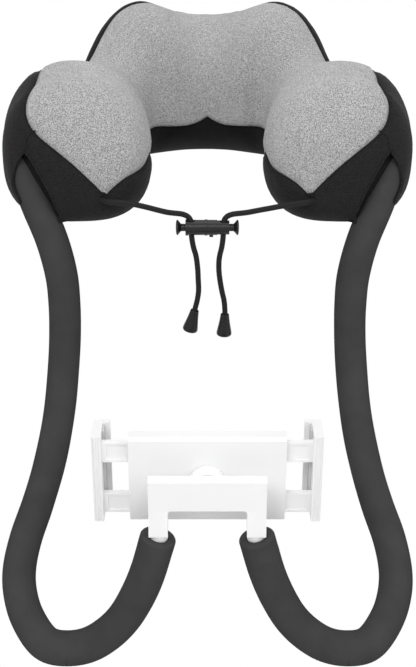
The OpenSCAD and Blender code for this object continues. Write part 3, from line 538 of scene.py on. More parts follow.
def add_lamp(name, place, aim, size, power):
    lamp = bpy.data.lights.new(name, "AREA")
    lamp.shape = "RECTANGLE"
    lamp.size, lamp.size_y = size
    lamp.energy = power
    piece = new_object(name, lamp)
    piece.location = place
    piece.rotation_euler = (Vector(aim) - Vector(place)).to_track_quat("-Z", "Y").to_euler()


class NECKHOLDER_OT_stage(bpy.types.Operator):
    """Makes the camera, the lamps, the pale world and the floor"""

    bl_idname = "neckholder.stage"
    bl_label = "Stage"

    def execute(self, context):
        scene = context.scene
        cam = bpy.data.cameras.new("photo_camera")
        cam.sensor_width = SENSOR
        cam.lens = FOCAL_PIXELS * SENSOR / max(PHOTO_SIZE)
        cam.shift_x = (PHOTO_SIZE[0] / 2 - PHOTO_MIDDLE[0]) / max(PHOTO_SIZE)
        eye = new_object("photo_camera", cam)
        eye.location = CAMERA_PLACE
        eye.rotation_euler = (math.radians(90 - CAMERA_ELEVATION), 0, 0)
        scene.camera = eye
        scene.view_settings.view_transform = "Standard"
        world = bpy.data.worlds.new("studio")
        world.use_nodes = True
        scene.world = world
        tree = Tree(world.node_tree)
        back = tree.nodes["Background"]
        tree.fill(back.inputs["Color"], (1, 1, 1))
        tree.fill(back.inputs["Strength"], directly_seen(tree) * 0.5 + 0.5)
        corners = [(x * FLOOR_HALF, y * FLOOR_HALF, FLOOR_Z)
                   for x, y in ((-1, -1), (1, -1), (1, 1), (-1, 1))]
        floor = new_mesh("studio_floor", corners, [(0, 1, 2, 3)])
        floor.data.materials.append(studio_material("studio_floor", (0.8, 0.8, 0.8)))
        for lamp in LAMPS:
            add_lamp(*lamp)
        return {"FINISHED"}


# Draw cords

# Both cords have the same places as far as the lock, in millimetres from the middle, and below
# it each hangs in its own way: the rest of its X, and its Z all along
CORD_X = [81.6, 78.5, 74.1, 68.6, 62.8, 56.6, 48, 39, 31, 24.6, 19.4, 15.4, 13.05, 12.3, 12.3]
CORD_Y = [-113.9, -117.8, -120.5, -121.3, -121.3, -121.3, -121.2] + 16 * [-121]
CORD_HANGS = {
    "left": ([-11, -8.9, -7.7, -7.3, -7, -8, -9.4, -10.7],
             [27.9, 28, 28.2, 28.2, 27.7, 26.8, 24.8, 22.3, 20.3, 19.5, 18.8, 17, 13.9, 9.5, 1,
              -8, -16, -26, -35, -45, -53, -59, -65]),
    "right": ([11.3, 9.4, 9, 9.8, 11.4, 13.3, 14, 14],
              [27.9, 27.9, 27.9, 27.3, 26.4, 25.3, 23.6, 21.8, 20.2, 19.4, 18.7, 17, 13.9, 9.5, 1,
               -8, -17, -26, -35, -45, -54, -62, -68.5])}
# The bell end, radius and distance from its top: it swells to a rounded rim and is hollow below
BELL_PROFILE = np.array([
    [2.2, 0.0], [3.1, 0.1], [3.45, 0.6], [3.6, 2.0], [4.1, 5.5], [4.8, 9.5], [5.5, 13.0],
    [5.95, 15.4], [6.1, 16.8], [5.8, 17.9], [5.0, 18.5], [4.3, 18.3], [4.0, 17.4], [3.8, 15.0],
    [3.0, 12.0], [1.8, 9.0], [0.02, 8.6]]) * MM
BELL_OVERLAP = 3 * MM   # the cord's length inside the bell
BELL_TILT = {"left": 13.0, "right": 2.0}
CORD_SIDES = 20
BRAID_ALONG, BRAID_ROUND = 0.9, 4   # units of the cord's map per diameter and round the cord
AXIS_RADIUS = 0.00001   # a turned piece's points stay this far from its axis
LOCK_PLACE = (0.0, -0.121, 0.0079)


def cord_route(name, side):
    """A cord's points in metres, from the cover's front seam through the lock to its bell end."""
    x, z = CORD_HANGS[name]
    return np.stack([[side * place for place in CORD_X] + x, CORD_Y, z], -1) * MM


def path_frames(points):
    """Two side directions of a path, carried along it without twisting."""
    t = unit(np.gradient(points, axis=0))
    n = UP - t[0] * np.dot(UP, t[0])
    normals = []
    for d in t:
        n = n - d * np.dot(n, d)
        n = n / np.linalg.norm(n)
        normals.append(n)
    normals = np.array(normals)
    return normals, np.cross(t, normals)


def spokes(n, b, sides):
    """Directions from a path's points to the rings round them: cos(u) n + sin(u) b."""
    u = np.linspace(0, 2 * np.pi, sides, endpoint=False)
    return np.cos(u)[None, :, None] * n[:, None] + np.sin(u)[None, :, None] * b[:, None]


def swept(points, radii, sides):
    """Rings of a tube: each is a circle round the path's point, in the plane across it."""
    radii = np.broadcast_to(np.asarray(radii, float), (len(points),))
    return points[:, None] + spokes(*path_frames(points), sides) * radii[:, None, None]


def smooth_path(points, per_span):
    """More points on the Catmull-Rom curve through the given ones."""
    t = np.linspace(0, len(points) - 1, (len(points) - 1) * per_span + 1)
    return catmull(points, t)


def turned(profile, samples, sides=40):
    """The spline through a profile of radii and heights, turned about its axis. Gives the two
    coordinates across the axis and the one along it."""
    curve = catmull(profile, np.linspace(0, len(profile) - 1, samples))
    curve = np.maximum(curve, AXIS_RADIUS)
    u = np.linspace(0, 2 * np.pi, sides, endpoint=False)
    return (curve[:, :1] * np.cos(u), curve[:, :1] * np.sin(u),
            np.broadcast_to(curve[:, 1:], (samples, sides)))


class NECKHOLDER_OT_cords(bpy.types.Operator):
    """Makes the two braided draw cords and their bell ends"""

    bl_idname = "neckholder.cords"
    bl_label = "Draw cords"

    def execute(self, context):
        looks = context.scene.neckholder_cord
        cloth = braid(tuple(looks.colour))
        gloss = moulded("black_gloss_plastic", (0.008, 0.008, 0.0085), 0.25, grain=0.05, shine=0.3)
        for name, side in SIDES:
            route = cord_route(name, side)
            path = smooth_path(route, 4)
            rings = swept(path, looks.diameter / 2, CORD_SIDES)
            steps = np.linalg.norm(np.diff(path, axis=0), axis=1)
            length = np.concatenate([[0], np.cumsum(steps)])
            u = np.repeat(length / looks.diameter * BRAID_ALONG, CORD_SIDES + 1)
            v = np.tile(np.linspace(0, BRAID_ROUND, CORD_SIDES + 1), len(path))
            cord = grid_piece("draw_cord_" + name + "_braid",
                              np.concatenate([rings, rings[:, :1]], 1), uv=np.stack([u, v], -1))
            bell = self.bell(name, route, gloss)
            dress(cord, cloth, "pillow", ["draw_cord_" + name])
        return {"FINISHED"}

    def bell(self, name, route, gloss):
        """The bell end: its turned profile, tilted about Y and hung on the cord's end."""
        x, y, height = turned(BELL_PROFILE, 61)
        tilt = math.radians(BELL_TILT[name])
        turn = np.array([[math.cos(tilt), 0, math.sin(tilt)], [0, 1, 0],
                         [-math.sin(tilt), 0, math.cos(tilt)]])
        top = route[-1] - BELL_OVERLAP * unit(route[-1] - route[-2])
        made = ring_piece("bell_end_" + name, np.stack([x, y, -height], -1) @ turn.T + top)
        return dress(made, gloss, "pillow", ["cord_end_" + name])


# Pillow

def camera_ray(px, py):
    """The direction through a pixel of the photograph, from the camera."""
    x, up = (px - PHOTO_MIDDLE[0]) / FOCAL_PIXELS, (PHOTO_MIDDLE[1] - py) / FOCAL_PIXELS
    return np.array([x, RISE_COS + up * RISE_SIN, -RISE_SIN + up * RISE_COS])


# The pocket's slit on the left lobe as the camera sees it: down its outer flap's edge, across
# below the lobe and back up its inner flap's edge to the apex, in pixels
SLIT = ((24.5, 151.0), (19.4, 159.1), (15.3, 169.5), (13.0, 178.0), (13.4, 186.3), (16.0, 193.5),
        (20.0, 202.0), (18.0, 232.0), (62.0, 232.0), (58.7, 216.0), (49.2, 193.7), (39.8, 176.0),
        (30.9, 160.5))
# Lines that are sewn on the side panel near the pocket, in pixels of the left side: the flap's
# seam from the outer seam's corner to the apex, and the hems of the slit's two edges
SEWN = (((36.0, 130.5), (31.6, 132.7), (27.2, 137.0), (25.2, 144.0), (24.6, 150.0)),
        ((24.3, 152.0), (18.9, 159.1), (14.8, 169.5), (12.6, 178.0), (12.8, 186.3), (15.0, 193.0)),
        ((24.9, 152.0), (31.3, 160.5), (40.2, 176.0), (49.6, 193.7), (58.2, 213.0)))
TOP_COLS, SIDE_COLS = 30, 46   # columns of faces across the two panels
COVER_WALL = 0.0012
FOAM_INSET = 2.5         # how far inside the cover the simulated cloth starts, in millimetres
LINING_INSET = 6.0       # the same for the pockets' linings
LINING_ALONG, LINING_ROUND = (0.72, 0.965, 40), (-150, 70, 70)   # from, to, points
LINING_SEEN = (75, 136)  # a lining ends at this column of the photograph and above this row
LINING_BACK_Y = -0.035   # and behind this place
SLIT_MARGIN = 3          # pixels round a slit's edge in which faces are split
# The part of a lobe for each step on its pocket: beyond this X and in front of this Y
SLIT_ZONE, SPLIT_ZONE = (0.085, -0.04), (0.08, -0.03)
DRAPE_ZONE, SEWN_ZONE = (0.08, -0.02), (0.07, 0.02)
LOBE_FRONT_Y = -0.088    # in front of it a slit is cut through faces that look away too
SEAM_WIDTH, SEAM_POWER, PUCKER_WIDTH = 0.0035, 1.3, 0.016
RIPPLE = (16, 4, 0.0008)   # scale, seed and height of the noise, here and below
PUCKER = (70, 9, 0.0007)
POINT_LENGTH = 0.003     # the knit reaches this far over the panel's tips
SLEEVE_RADIUS = 0.013
SLEEVE_GAP = 0.0022      # room between a sleeve and the cover that lies over it
DRAPE_WAY = np.array([0.15, -0.94, 0.3])   # the left cover moves this way off its sleeve
DRAPE_DEPTH = 0.4        # unless it is deeper in the sleeve than this share
STITCH_RADIUS, STITCH_LIFT, PIPING_RADIUS = 0.0007, 0.0002, 0.0006
STITCH_SIDES = 8
SIM_FRAMES = 20
CLOTH = {"quality": 5, "mass": 0.3, "tension_stiffness": 40, "compression_stiffness": 12,
         "shear_stiffness": 8, "bending_stiffness": 0.8, "use_pressure": True,
         "vertex_group_mass": "seams"}


def seen_at(points, side):
    """The pixels at which points appear; for the right side they are mirrored first."""
    x, y, z = (points - np.array(CAMERA_PLACE)).T
    depth = y * RISE_COS - z * RISE_SIN
    up = y * RISE_SIN + z * RISE_COS
    return np.stack([PHOTO_MIDDLE[0] - side * FOCAL_PIXELS * x / depth,
                     PHOTO_MIDDLE[1] - FOCAL_PIXELS * up / depth], -1)


def faces_camera(points, normals):
    return np.sum(normals * (np.array(CAMERA_PLACE) - points), 1) > 0


def on_lobe(points, side, zone):
    """Which points lie on one side's lobe: further out than one place, in front of another."""
    return (points[:, 0] * side > zone[0]) & (points[:, 1] < zone[1])


def in_polygon(points, corners):
    """Which points lie in a polygon, by counting the edges that a level line crosses."""
    x, y = points.T
    inside = np.zeros(len(points), bool)
    for (x0, y0), (x1, y1) in zip(corners, corners[1:] + corners[:1]):
        across = (y0 > y) != (y1 > y)
        at = x0 + (y - y0) * (x1 - x0) / (y1 - y0 if y1 != y0 else 1)
        inside ^= across & (x < at)
    return inside


def in_slit(points, side):
    """Which points lie on the front of the lobe and inside its slit, as the camera sees them."""
    return on_lobe(points, side, SLIT_ZONE) & in_polygon(seen_at(points, side), SLIT)


def soft_noise(grid, scale, seed, height):
    """Smooth noise on a grid: a sum of sines of fixed directions and phases, from the seed."""
    rng = np.random.default_rng(seed)
    points = grid.reshape(-1, 3)
    total = np.zeros(len(points))
    for _ in range(7):
        way = rng.normal(size=3)
        total += np.sin(points @ (way / np.linalg.norm(way)) * scale * rng.uniform(0.6, 1.5)
                        * 2 * np.pi + rng.uniform(0, 6.28))
    return (total / 7 * height).reshape(grid.shape[:2])


class NECKHOLDER_OT_pillow(bpy.types.Operator):
    """Makes the pillow's two cover panels, puffed between their seams by a cloth simulation"""

    bl_idname = "neckholder.pillow"
    bl_label = "Pillow"

    def execute(self, context):
        looks = context.scene.neckholder_pillow
        s = front_share(looks.rows)[:, None]
        share_top = np.linspace(0, 1, TOP_COLS + 1)
        share_side = np.linspace(0, 1, SIDE_COLS + 1)[1:-1]
        outer, inner = seam_angles(s)
        v = np.concatenate([outer + (inner - outer) * share_top,
                            inner + (360 + outer - inner) * share_side], 1)
        cover = pillow_skin(s, v)
        cover = cover + self.puff(pillow_skin(s, v, FOAM_INSET), looks)
        cover = self.drape(self.crease(cover, looks))
        top = cover[:, :TOP_COLS + 1]
        side = np.concatenate([cover[:, TOP_COLS:], cover[:, :1]], 1)
        reach = np.linalg.norm(top - top[:1, :1], axis=-1).max(1)
        tip = int(np.sum(reach < POINT_LENGTH))
        velour_cloth = velour(tuple(looks.top_colour))
        knit_cloth = knit("black_knit", tuple(looks.side_colour))
        top_piece = self.panel("pillow_top_cover", top[tip:len(top) - tip])
        side_piece = self.panel("pillow_side_cover", side)
        self.sewn_lines(cover, knit_cloth)
        self.cut_slits(side_piece)
        for piece in (top_piece, side_piece):
            modify(piece, "cloth", "SOLIDIFY", thickness=COVER_WALL, offset=-1)
        dress(top_piece, velour_cloth, "pillow", ["top_panel", "pillow_core"])
        dress(side_piece, knit_cloth, "pillow", ["base_panel"])
        self.tip_caps(top, tip, cover, knit_cloth)
        # the linings' knit is half as bright as the sides: painted shade inside the pockets
        self.lining(knit("pocket_lining_painted_shade", (0.006, 0.006, 0.0065)))
        self.seam_lines(top, knit_cloth)
        return {"FINISHED"}

    def puff(self, grid, looks):
        """Cloth under gentle pressure, held at its seams and its two tips: each point moves along
        its normal by what it swelled beyond the middle of all, up to the largest bulge."""
        rows, cols = grid.shape[:2]
        number = np.arange(rows * cols).reshape(rows, cols)
        faces = grid_faces(rows, cols, True).tolist()
        faces += [number[0].tolist(), number[-1, ::-1].tolist()]
        piece = new_mesh("cover_simulation", grid.reshape(-1, 3), faces)
        with edited(piece) as mesh:
            bmesh.ops.recalc_face_normals(mesh, faces=mesh.faces)
        held = np.unique(np.concatenate([
            number[:, 0], number[:, TOP_COLS], number[:3].ravel(), number[-3:].ravel()]))
        piece.vertex_groups.new(name="seams").add(held.tolist(), 1.0, "REPLACE")
        cloth = piece.modifiers.new("cloth", "CLOTH")
        for key, value in CLOTH.items():
            setattr(cloth.settings, key, value)
        cloth.settings.uniform_pressure_force = looks.pressure
        cloth.settings.effector_weights.gravity = 0
        cloth.collision_settings.use_collision = False
        cloth.point_cache.frame_start, cloth.point_cache.frame_end = 1, SIM_FRAMES
        scene = bpy.context.scene
        for time in range(1, SIM_FRAMES + 1):
            scene.frame_set(time)
        graph = bpy.context.evaluated_depsgraph_get()
        graph.update()
        mesh = bpy.data.meshes.new_from_object(piece.evaluated_get(graph), depsgraph=graph)
        result = np.empty(len(mesh.vertices) * 3)
        mesh.vertices.foreach_get("co", result)
        bpy.data.meshes.remove(mesh)
        bpy.data.objects.remove(piece)
        scene.frame_set(1)
        outward = skin_normals(grid)
        rise = np.sum((result.reshape(grid.shape) - grid) * outward, -1)
        rise = np.clip(rise - np.median(rise), -looks.bulge, looks.bulge)
        return outward * rise[..., None]

    def crease(self, cover, looks):
        """Draws the cover in along the seams and adds broad soft ripples beside them."""
        near = np.minimum(np.linalg.norm(cover - cover[:, :1], axis=-1),
                          np.linalg.norm(cover - cover[:, TOP_COLS:TOP_COLS + 1], axis=-1))
        dip = -looks.seam_depth * np.exp(-(near / SEAM_WIDTH) ** SEAM_POWER)
        ripple = soft_noise(cover, *RIPPLE)
        pucker = soft_noise(cover, *PUCKER) * np.exp(-near / PUCKER_WIDTH)
        return cover + skin_normals(cover) * (dip + ripple + pucker)[..., None]

    def drape(self, cover):
        """Lays the cover over the sleeves where they would pass through it: across each sleeve a
        point inside its circle moves towards the camera's side to the circle plus a small gap."""
        arm = arm_path()[0][:7 * ARM_SPAN]
        along = unit(np.gradient(arm, axis=0))
        clear = SLEEVE_RADIUS + SLEEVE_GAP
        flat = cover.reshape(-1, 3).copy()
        for _, side in SIDES:
            turn = np.array([-side, 1, 1])
            axis, way = arm * turn, along * turn
            near = np.flatnonzero(on_lobe(flat, side, DRAPE_ZONE))
            gap = flat[near, None] - axis[None]
            nearest = np.argmin(np.sum(gap * gap, -1), 1)
            gap = gap[np.arange(len(near)), nearest]
            t = way[nearest]
            front = DRAPE_WAY * turn
            front = unit(front - t * (t @ front)[:, None])
            across = np.cross(t, front)
            u, w = np.sum(gap * front, 1), np.sum(gap * across, 1)
            lift = np.sqrt(np.maximum(clear**2 - w**2, 0))
            ends = (nearest > 0) & (nearest < len(axis) - 1)
            push = ends & (np.abs(w) < clear) & (u < lift) & (u > -DRAPE_DEPTH * clear)
            flat[near] += np.where(push, lift - u, 0)[:, None] * front
        return flat.reshape(cover.shape)

    def panel(self, name, points):
        """A panel's mesh, its faces outwards. Its own map has metres along its middle column."""
        rows, cols = points.shape[:2]
        middle = points[:, cols // 2]
        along = np.cumsum(np.linalg.norm(np.diff(middle, axis=0, prepend=middle[:1]), axis=1))
        across = np.linspace(0, 0.2, cols)
        uv = np.stack(np.broadcast_arrays(along[:, None], across[None]), -1).reshape(-1, 2)
        piece = grid_piece(name, points, uv=uv)
        with edited(piece) as mesh:
            mesh.faces.ensure_lookup_table()
            face = mesh.faces[len(mesh.faces) // 2]
            outward = face.calc_center_median() - Vector(points[rows // 2].mean(0))
            if face.normal.dot(outward) < 0:
                bmesh.ops.reverse_faces(mesh, faces=mesh.faces)
        return piece

    def cut_slits(self, piece):
        """Cuts each pocket's inverted V out of the side panel, along planes through the camera."""
        with edited(piece) as mesh:
            for _, side in SIDES:
                for first, second in zip(SLIT, SLIT[1:] + SLIT[:1]):
                    self.split(mesh, side, first, second)
                centres = face_centres(mesh)
                mesh.normal_update()
                facing = faces_camera(centres, np.array([face.normal for face in mesh.faces]))
                front = facing | (centres[:, 1] < LOBE_FRONT_Y)
                gone = chosen_faces(mesh, in_slit(centres, side) & front)
                bmesh.ops.delete(mesh, geom=gone, context="FACES")

    def split(self, mesh, side, first, second):
        """Splits the faces near one edge of a slit by the plane through it and the camera."""
        normal = np.cross(camera_ray(*first), camera_ray(*second)) * (-side, 1, 1)
        low = np.minimum(first, second) - SLIT_MARGIN
        high = np.maximum(first, second) + SLIT_MARGIN
        centres = face_centres(mesh)
        seen = seen_at(centres, side)
        near = on_lobe(centres, side, SPLIT_ZONE) & np.all((seen > low) & (seen < high), 1)
        faces = chosen_faces(mesh, near)
        rims = {part for face in faces for part in (*face.edges, *face.verts)}
        bmesh.ops.bisect_plane(mesh, geom=list(rims) + faces, plane_co=CAMERA_PLACE,
                               plane_no=normal, dist=1e-6)

    def sewn_lines(self, cover, cloth):
        """Low cords where the pocket is sewn: each follows the cover where a drawn line is seen,
        at the mean of the four points that are seen nearest to it."""
        flat, normal = cover.reshape(-1, 3), skin_normals(cover).reshape(-1, 3)
        facing = faces_camera(flat, normal)
        for name, side in SIDES:
            near = facing & on_lobe(flat, side, SEWN_ZONE)
            at, out, seen = flat[near], normal[near], seen_at(flat[near], side)
            for number, line in enumerate(SEWN):
                line = catmull(line, np.linspace(0, len(line) - 1, 40))
                gap = np.linalg.norm(line[:, None] - seen[None], axis=-1)
                four = np.argsort(gap, 1)[:, :4]
                share = 1 / (np.take_along_axis(gap, four, 1) + 0.15)
                share = (share / share.sum(1, keepdims=True))[..., None]
                place = np.sum(at[four] * share, 1)
                lift = unit(np.sum(out[four] * share, 1)) * STITCH_LIFT
                for _ in range(3):
                    place[1:-1] = (place[:-2] + 2 * place[1:-1] + place[2:]) / 4
                piece = ring_piece(f"pocket_seam_{number}_{name}",
                                   swept(place + lift, STITCH_RADIUS, STITCH_SIDES))
                dress(piece, cloth, "pillow")

    def tip_caps(self, top, tip, cover, cloth):
        """Ends the velour in a clean point: knit over the last rows, and a fan over the tip."""
        for name, row, last in (("left", cover[0], top[:tip + 1]),
                                ("right", cover[-1], top[-tip - 1:])):
            piece = grid_piece("pillow_point_" + name, last)
            dress(piece, cloth, "pillow")
            cols = len(row)
            fan = [(j, (j + 1) % cols, cols) for j in range(cols)]
            piece = new_mesh("pillow_tip_" + name, np.concatenate([row, [row.mean(0)]]), fan)
            flip_outwards(piece)
            dress(piece, cloth, "pillow")

    def lining(self, cloth):
        """The pocket's inner wall behind each slit, a lining in a knit darker than the sides as
        painted
            shade: the skin again, 6 mm further in.
        """
        for name, side in SIDES:
            s, v = side * np.linspace(*LINING_ALONG), np.linspace(*LINING_ROUND)
            points = pillow_skin(s[:, None], v[None], LINING_INSET)
            piece = grid_piece("pocket_lining_" + name, points)
            with edited(piece) as mesh:
                centres = face_centres(mesh)
                seen = seen_at(centres, side)
                kept = ((seen[:, 0] < LINING_SEEN[0]) & (seen[:, 1] > LINING_SEEN[1])
                        & (centres[:, 1] < LINING_BACK_Y))
                bmesh.ops.delete(mesh, geom=chosen_faces(mesh, ~kept), context="FACES")
            dress(piece, cloth, "pillow", ["pocket_liner_" + name])

    def seam_lines(self, top, cloth):
        """A fine turned-in piping of 1 mm along the two seams."""
        for name, line in (("outer", top[:, 0]), ("inner", top[:, -1])):
            piece = ring_piece("pillow_seam_" + name, swept(line, PIPING_RADIUS, STITCH_SIDES))
            dress(piece, cloth, "pillow")


# Arms

# The arm's route from the pocket to the hook's bottom, as shares of that bottom's place
ARM_ROUTE = np.array([
    [1.355, 0.234, -0.279], [1.389, 0.296, -0.191], [1.312, 0.333, -0.088], [1.195, 0.357, 0.031],
    [1.133, 0.366, 0.142], [1.12, 0.368, 0.237], [1.129, 0.366, 0.337], [1.15, 0.375, 0.444],
    [1.174, 0.416, 0.549], [1.205, 0.486, 0.634], [1.252, 0.5625, 0.711], [1.317, 0.636, 0.784],
    [1.389, 0.71, 0.85], [1.416, 0.7835, 0.901], [1.386, 0.856, 0.932], [1.305, 0.927, 0.962],
    [1.165, 0.987, 0.993], [1, 1, 1]])
ARM_SPAN = 8   # points on each span of the route
DENTS = (14, 21, 0.00025)
HOOK_ARCS = ((38.0, 35.0), (80.0, 27.0), (200.0, 13.5))   # radius and turn of each
HOOK_STRAIGHT = 22.0
HOOK_MOUTH = (0.0022, 0.001, 0.0069)   # roundings of the lip and the rim, radius of the bore
BORE_ROWS = (0.006, 0.014, 0.0215)     # depths of the bore's rows of points
CORE_START = 12                        # the route's points at which the wound core begins
CORE_RADIUS, CORE_THREAD, CORE_SIDES = 0.005, 0.0003, 14
MOUTH_Z = -161.3
LEG_X = 34.5
CLAMP_REACH = 291.0


def hook_path():
    """The hook's centreline in its own plane: three arcs that open out, then a straight run.
    Gives x, z and the heading in degrees, in millimetres from the bottom."""
    place, heading = np.array([0.0, 0.0]), 0.0
    rows = [(0.0, 0.0, 0.0)]
    for radius, turn in HOOK_ARCS:
        for part in np.linspace(0, turn, 12)[1:]:
            a, b = math.radians(heading), math.radians(heading + part)
            end = place + radius * np.array([math.sin(b) - math.sin(a), math.cos(a) - math.cos(b)])
            rows.append((*end, heading + part))
        place, heading = np.array(rows[-1][:2]), heading + turn
    for run in np.linspace(0, HOOK_STRAIGHT, 6)[1:]:
        a = math.radians(heading)
        rows.append((*(place + run * np.array([math.cos(a), math.sin(a)])), heading))
    return np.array(rows)


def arm_path():
    """The arm's centreline in metres from its end in the pocket to the bottom of the hook, and
    the hook's from there to its mouth, for the left side."""
    hook = hook_path()
    bottom = np.array([-LEG_X - hook[-1, 0], -CLAMP_REACH, MOUTH_Z - hook[-1, 1]])
    points = ARM_ROUTE * bottom
    twin = np.array([2 * bottom[0] - points[-2, 0], points[-2, 1], points[-2, 2]])
    t = np.linspace(0, len(points) - 1, (len(points) - 1) * ARM_SPAN + 1)
    arm = catmull(np.concatenate([points, [twin]]), t)
    curl = np.stack([bottom[0] + hook[:, 0], np.full(len(hook), bottom[1]),
                     bottom[2] + hook[:, 1]], -1)
    return arm * MM, curl * MM


class NECKHOLDER_OT_arms(bpy.types.Operator):
    """Makes the foam sleeves and the wound cores of both arms"""

    bl_idname = "neckholder.arms"
    bl_label = "Padded arms"

    def execute(self, context):
        looks = context.scene.neckholder_arms
        skin = foam(tuple(looks.colour))
        steel = metal("gooseneck_metal", (0.45, 0.45, 0.47), 0.3)
        arm, curl = arm_path()
        for name, side in SIDES:
            flip = np.array([-side, 1, 1])
            self.sleeve(name, arm * flip, looks.sides, skin)
            self.core(name, arm * flip, steel)
            self.hook(name, curl * flip, looks.sides, skin)
        return {"FINISHED"}

    def bend(self, piece, material, slot, kind, name):
        """Dresses a long piece that runs below the pillow and stands for three stretches."""
        nodes = [f"{kind}_{part}_{name}" for part in ("pocket", "flex", "main")]
        dress(piece, material, None, nodes)
        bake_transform(piece)

    def sleeve(self, name, path, sides, skin):
        """The long sleeve: a tube with a slightly uneven wall, even again at the hook."""
        rings = swept(path, SLEEVE_RADIUS, sides)
        outward = unit(rings - path[:, None])
        fade = np.clip((len(path) - 1 - np.arange(len(path))) / 6, 0, 1)[:, None]
        rings = rings + outward * (soft_noise(rings, *DENTS) * fade)[..., None]
        piece = ring_piece("foam_sleeve_" + name, rings)
        self.bend(piece, skin, "black_foam", "sleeve", name)

    def core(self, name, path, steel):
        """The wound core: a tube with a fine thread of turns."""
        fine = smooth_path(path[CORE_START:], 3)
        radii = CORE_RADIUS - CORE_THREAD * (np.arange(len(fine)) % 2)
        piece = ring_piece("gooseneck_core_" + name, swept(fine, radii, CORE_SIDES))
        self.bend(piece, steel, "gooseneck_metal", "gooseneck", name)

    def hook(self, name, path, sides, skin):
        """The hook's sleeve: round its lip by a quarter circle, round the bore's rim by another,
        then down the bore that takes the bracket's leg."""
        way = unit(path[-1] - path[-2])
        lip, rim, bore = HOOK_MOUTH
        outer, inner = (np.radians(np.linspace(0, 90, steps)) for steps in (7, 6))
        back = np.concatenate([lip - lip * np.sin(outer), rim - rim * np.cos(inner),
                               BORE_ROWS])
        radii = np.concatenate([
            np.full(len(path) - 1, SLEEVE_RADIUS), SLEEVE_RADIUS - lip + lip * np.cos(outer),
            bore + rim - rim * np.sin(inner), np.full(len(BORE_ROWS), bore)])
        centres = np.concatenate([path[:-1], path[-1] - way * back[:, None]])
        n, b = (np.concatenate([d[:-1], np.repeat(d[-1:], len(centres) - len(d) + 1, 0)])
                for d in path_frames(path))
        ring = spokes(n, b, sides)
        rings = centres[:, None] + ring * radii[:, None, None]
        row = np.arange(len(centres))
        fade = np.clip(row / 4, 0, 1) * (row < len(path) - 3)
        rings = rings + ring * (soft_noise(rings, *DENTS) * fade[:, None])[..., None]
        piece = grid_piece("foam_hook_" + name, rings, True)
        if piece.data.polygons[0].normal.dot(Vector(ring[0, 0])) < 0:
            piece.data.flip_normals()
        dress(piece, skin, "hooks", ["sleeve_hook_" + name])


# Clamp, bracket and lock: the frame's own solids with rounded edges and finishes

# A lock button, radius and distance from the lock's middle: stem, neck and flaring head
BUTTON_PROFILE = np.array([
    [0.02, 6.1], [3.8, 6.1], [3.9, 6.6], [3.9, 12.0], [3.9, 16.2], [2.95, 16.8], [2.95, 18.5],
    [2.95, 20.2], [3.6, 21.0], [4.9, 22.1], [5.7, 22.7], [6.0, 23.2], [5.8, 23.7], [4.9, 24.2],
    [2.5, 24.5], [0.02, 24.6]]) * MM
MERGED_ANGLE, BEVELLED_ANGLE, SHARP_ANGLE = map(math.radians, (0.8, 40, 32))


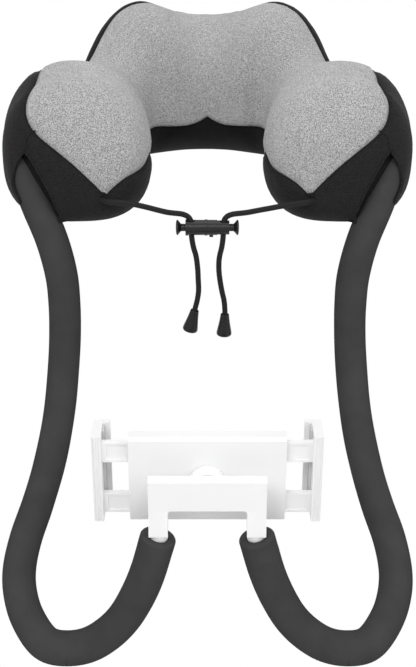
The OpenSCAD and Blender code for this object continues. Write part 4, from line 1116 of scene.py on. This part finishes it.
class NECKHOLDER_OT_hardware(bpy.types.Operator):
    """Rounds the edges of the moulded pieces and gives each its finish"""

    bl_idname = "neckholder.hardware"
    bl_label = "Clamp, bracket and lock"

    def execute(self, context):
        looks = context.scene.neckholder_clamp
        white = moulded("white_plastic", tuple(looks.colour), 0.38, coat=0.1, grain=0.1)
        grey = moulded("grey_rubber", (0.2, 0.2, 0.21), 0.7, grain=0.8)
        pale = moulded("light_rubber", (0.62, 0.62, 0.63), 0.6, grain=0.5)
        black = moulded("lock_plastic", (0.009, 0.009, 0.0095), 0.34, grain=0.05, shine=0.32)
        cap = moulded("black_plastic", (0.02, 0.02, 0.021), 0.55, grain=0.5)
        steel = metal("spring_steel", (0.6, 0.6, 0.62), 0.25)
        lacquer = metal("zip_metal", (0.05, 0.05, 0.055), 0.35)
        tape = knit("zip_tape", (0.012, 0.012, 0.013), 0.0006)
        finishes = (
            (white, 2.6, ("bracket",)), (white, 1.0, ("back_shell", "front_shell")),
            (white, 0.6, ("jaw_left", "jaw_right")), (white, 0.0, ("ball_stud", "ring_nut")),
            (grey, 0.0, ("ball_liner",)), (pale, 0.6, ("front_pad",)),
            (pale, 0.5, ("jaw_pad_left", "jaw_pad_right")),
            (black, 0.8, ("lock_barrel_left", "lock_barrel_right")),
            (cap, 0.5, ("arm_end_cap_left", "arm_end_cap_right")),
            (lacquer, 0.5, ("zip_slider",)), (lacquer, 0.3, ("zip_pull",)),
            (tape, 0.0, ("zip_chain",)),
            (steel, 0.0, ("shell_screws", "guide_rod", "jaw_spring_left", "jaw_spring_right",
                          "lock_spring_left", "lock_spring_right", "gooseneck_hook_left",
                          "gooseneck_hook_right")))
        for material, edge, names in finishes:
            for name in names:
                self.finish(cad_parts[name], material, looks.edge * edge)
        for name, side in SIDES:
            self.button(name, side, black)
            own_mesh(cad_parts["lock_spring_" + name])
        return {"FINISHED"}

    def finish(self, piece, material, edge):
        """Joins a solid's triangles, rounds its edges and shades it smooth between sharp ones,
        with normals that lean to the large faces."""
        dress(piece, material)
        modify(piece, "weld", "WELD", merge_threshold=2e-6)
        if edge:
            modify(piece, "merge", "DECIMATE", decimate_type="DISSOLVE", angle_limit=MERGED_ANGLE)
            modify(piece, "edge", "BEVEL", width=edge, segments=3, limit_method="ANGLE",
                   angle_limit=BEVELLED_ANGLE, use_clamp_overlap=True)
        piece.data.polygons.foreach_set("use_smooth", np.ones(len(piece.data.polygons), bool))
        modify(piece, "sharp", "EDGE_SPLIT", split_angle=SHARP_ANGLE)
        modify(piece, "even", "WEIGHTED_NORMAL", keep_sharp=True)

    def button(self, name, side, black):
        """A push button of the lock, turned about the lock's long axis."""
        x, y, reach = turned(BUTTON_PROFILE, 76)
        points = np.stack([side * reach, x + LOCK_PLACE[1], y + LOCK_PLACE[2]], -1)
        made = ring_piece("lock_button_" + name, points)
        dress(made, black, "plunger_" + name, ["lock_plunger_" + name])


# Panel and running

STEPS = ("stage", "cords", "pillow", "arms", "hardware")


class NECKHOLDER_PT_panel(bpy.types.Panel):
    """Lists the steps that build the holder"""

    bl_label = "Neck Holder"
    bl_idname = "NECKHOLDER_PT_panel"
    bl_space_type = "VIEW_3D"
    bl_region_type = "UI"
    bl_category = "Neck Holder"

    def draw(self, context):
        for step in STEPS:
            self.layout.operator("neckholder." + step)
        for settings in (context.scene.neckholder_pillow, context.scene.neckholder_arms,
                         context.scene.neckholder_clamp, context.scene.neckholder_cord):
            box = self.layout.box()
            for name in settings.__annotations__:
                box.prop(settings, name)


SETTINGS = {"neckholder_pillow": PillowSettings, "neckholder_arms": ArmSettings,
            "neckholder_clamp": ClampSettings, "neckholder_cord": CordSettings}
CLASSES = (PillowSettings, ArmSettings, ClampSettings, CordSettings, NECKHOLDER_OT_stage,
           NECKHOLDER_OT_cords, NECKHOLDER_OT_pillow, NECKHOLDER_OT_arms, NECKHOLDER_OT_hardware,
           NECKHOLDER_PT_panel)


def register():
    for made in CLASSES:
        bpy.utils.register_class(made)
    for name, group in SETTINGS.items():
        setattr(bpy.types.Scene, name, PointerProperty(type=group))


def unregister():
    for name in SETTINGS:
        delattr(bpy.types.Scene, name)
    for made in reversed(CLASSES):
        bpy.utils.unregister_class(made)


def main():
    register()
    for step in STEPS:
        getattr(bpy.ops.neckholder, step)()


if __name__ == "__main__":
    main()
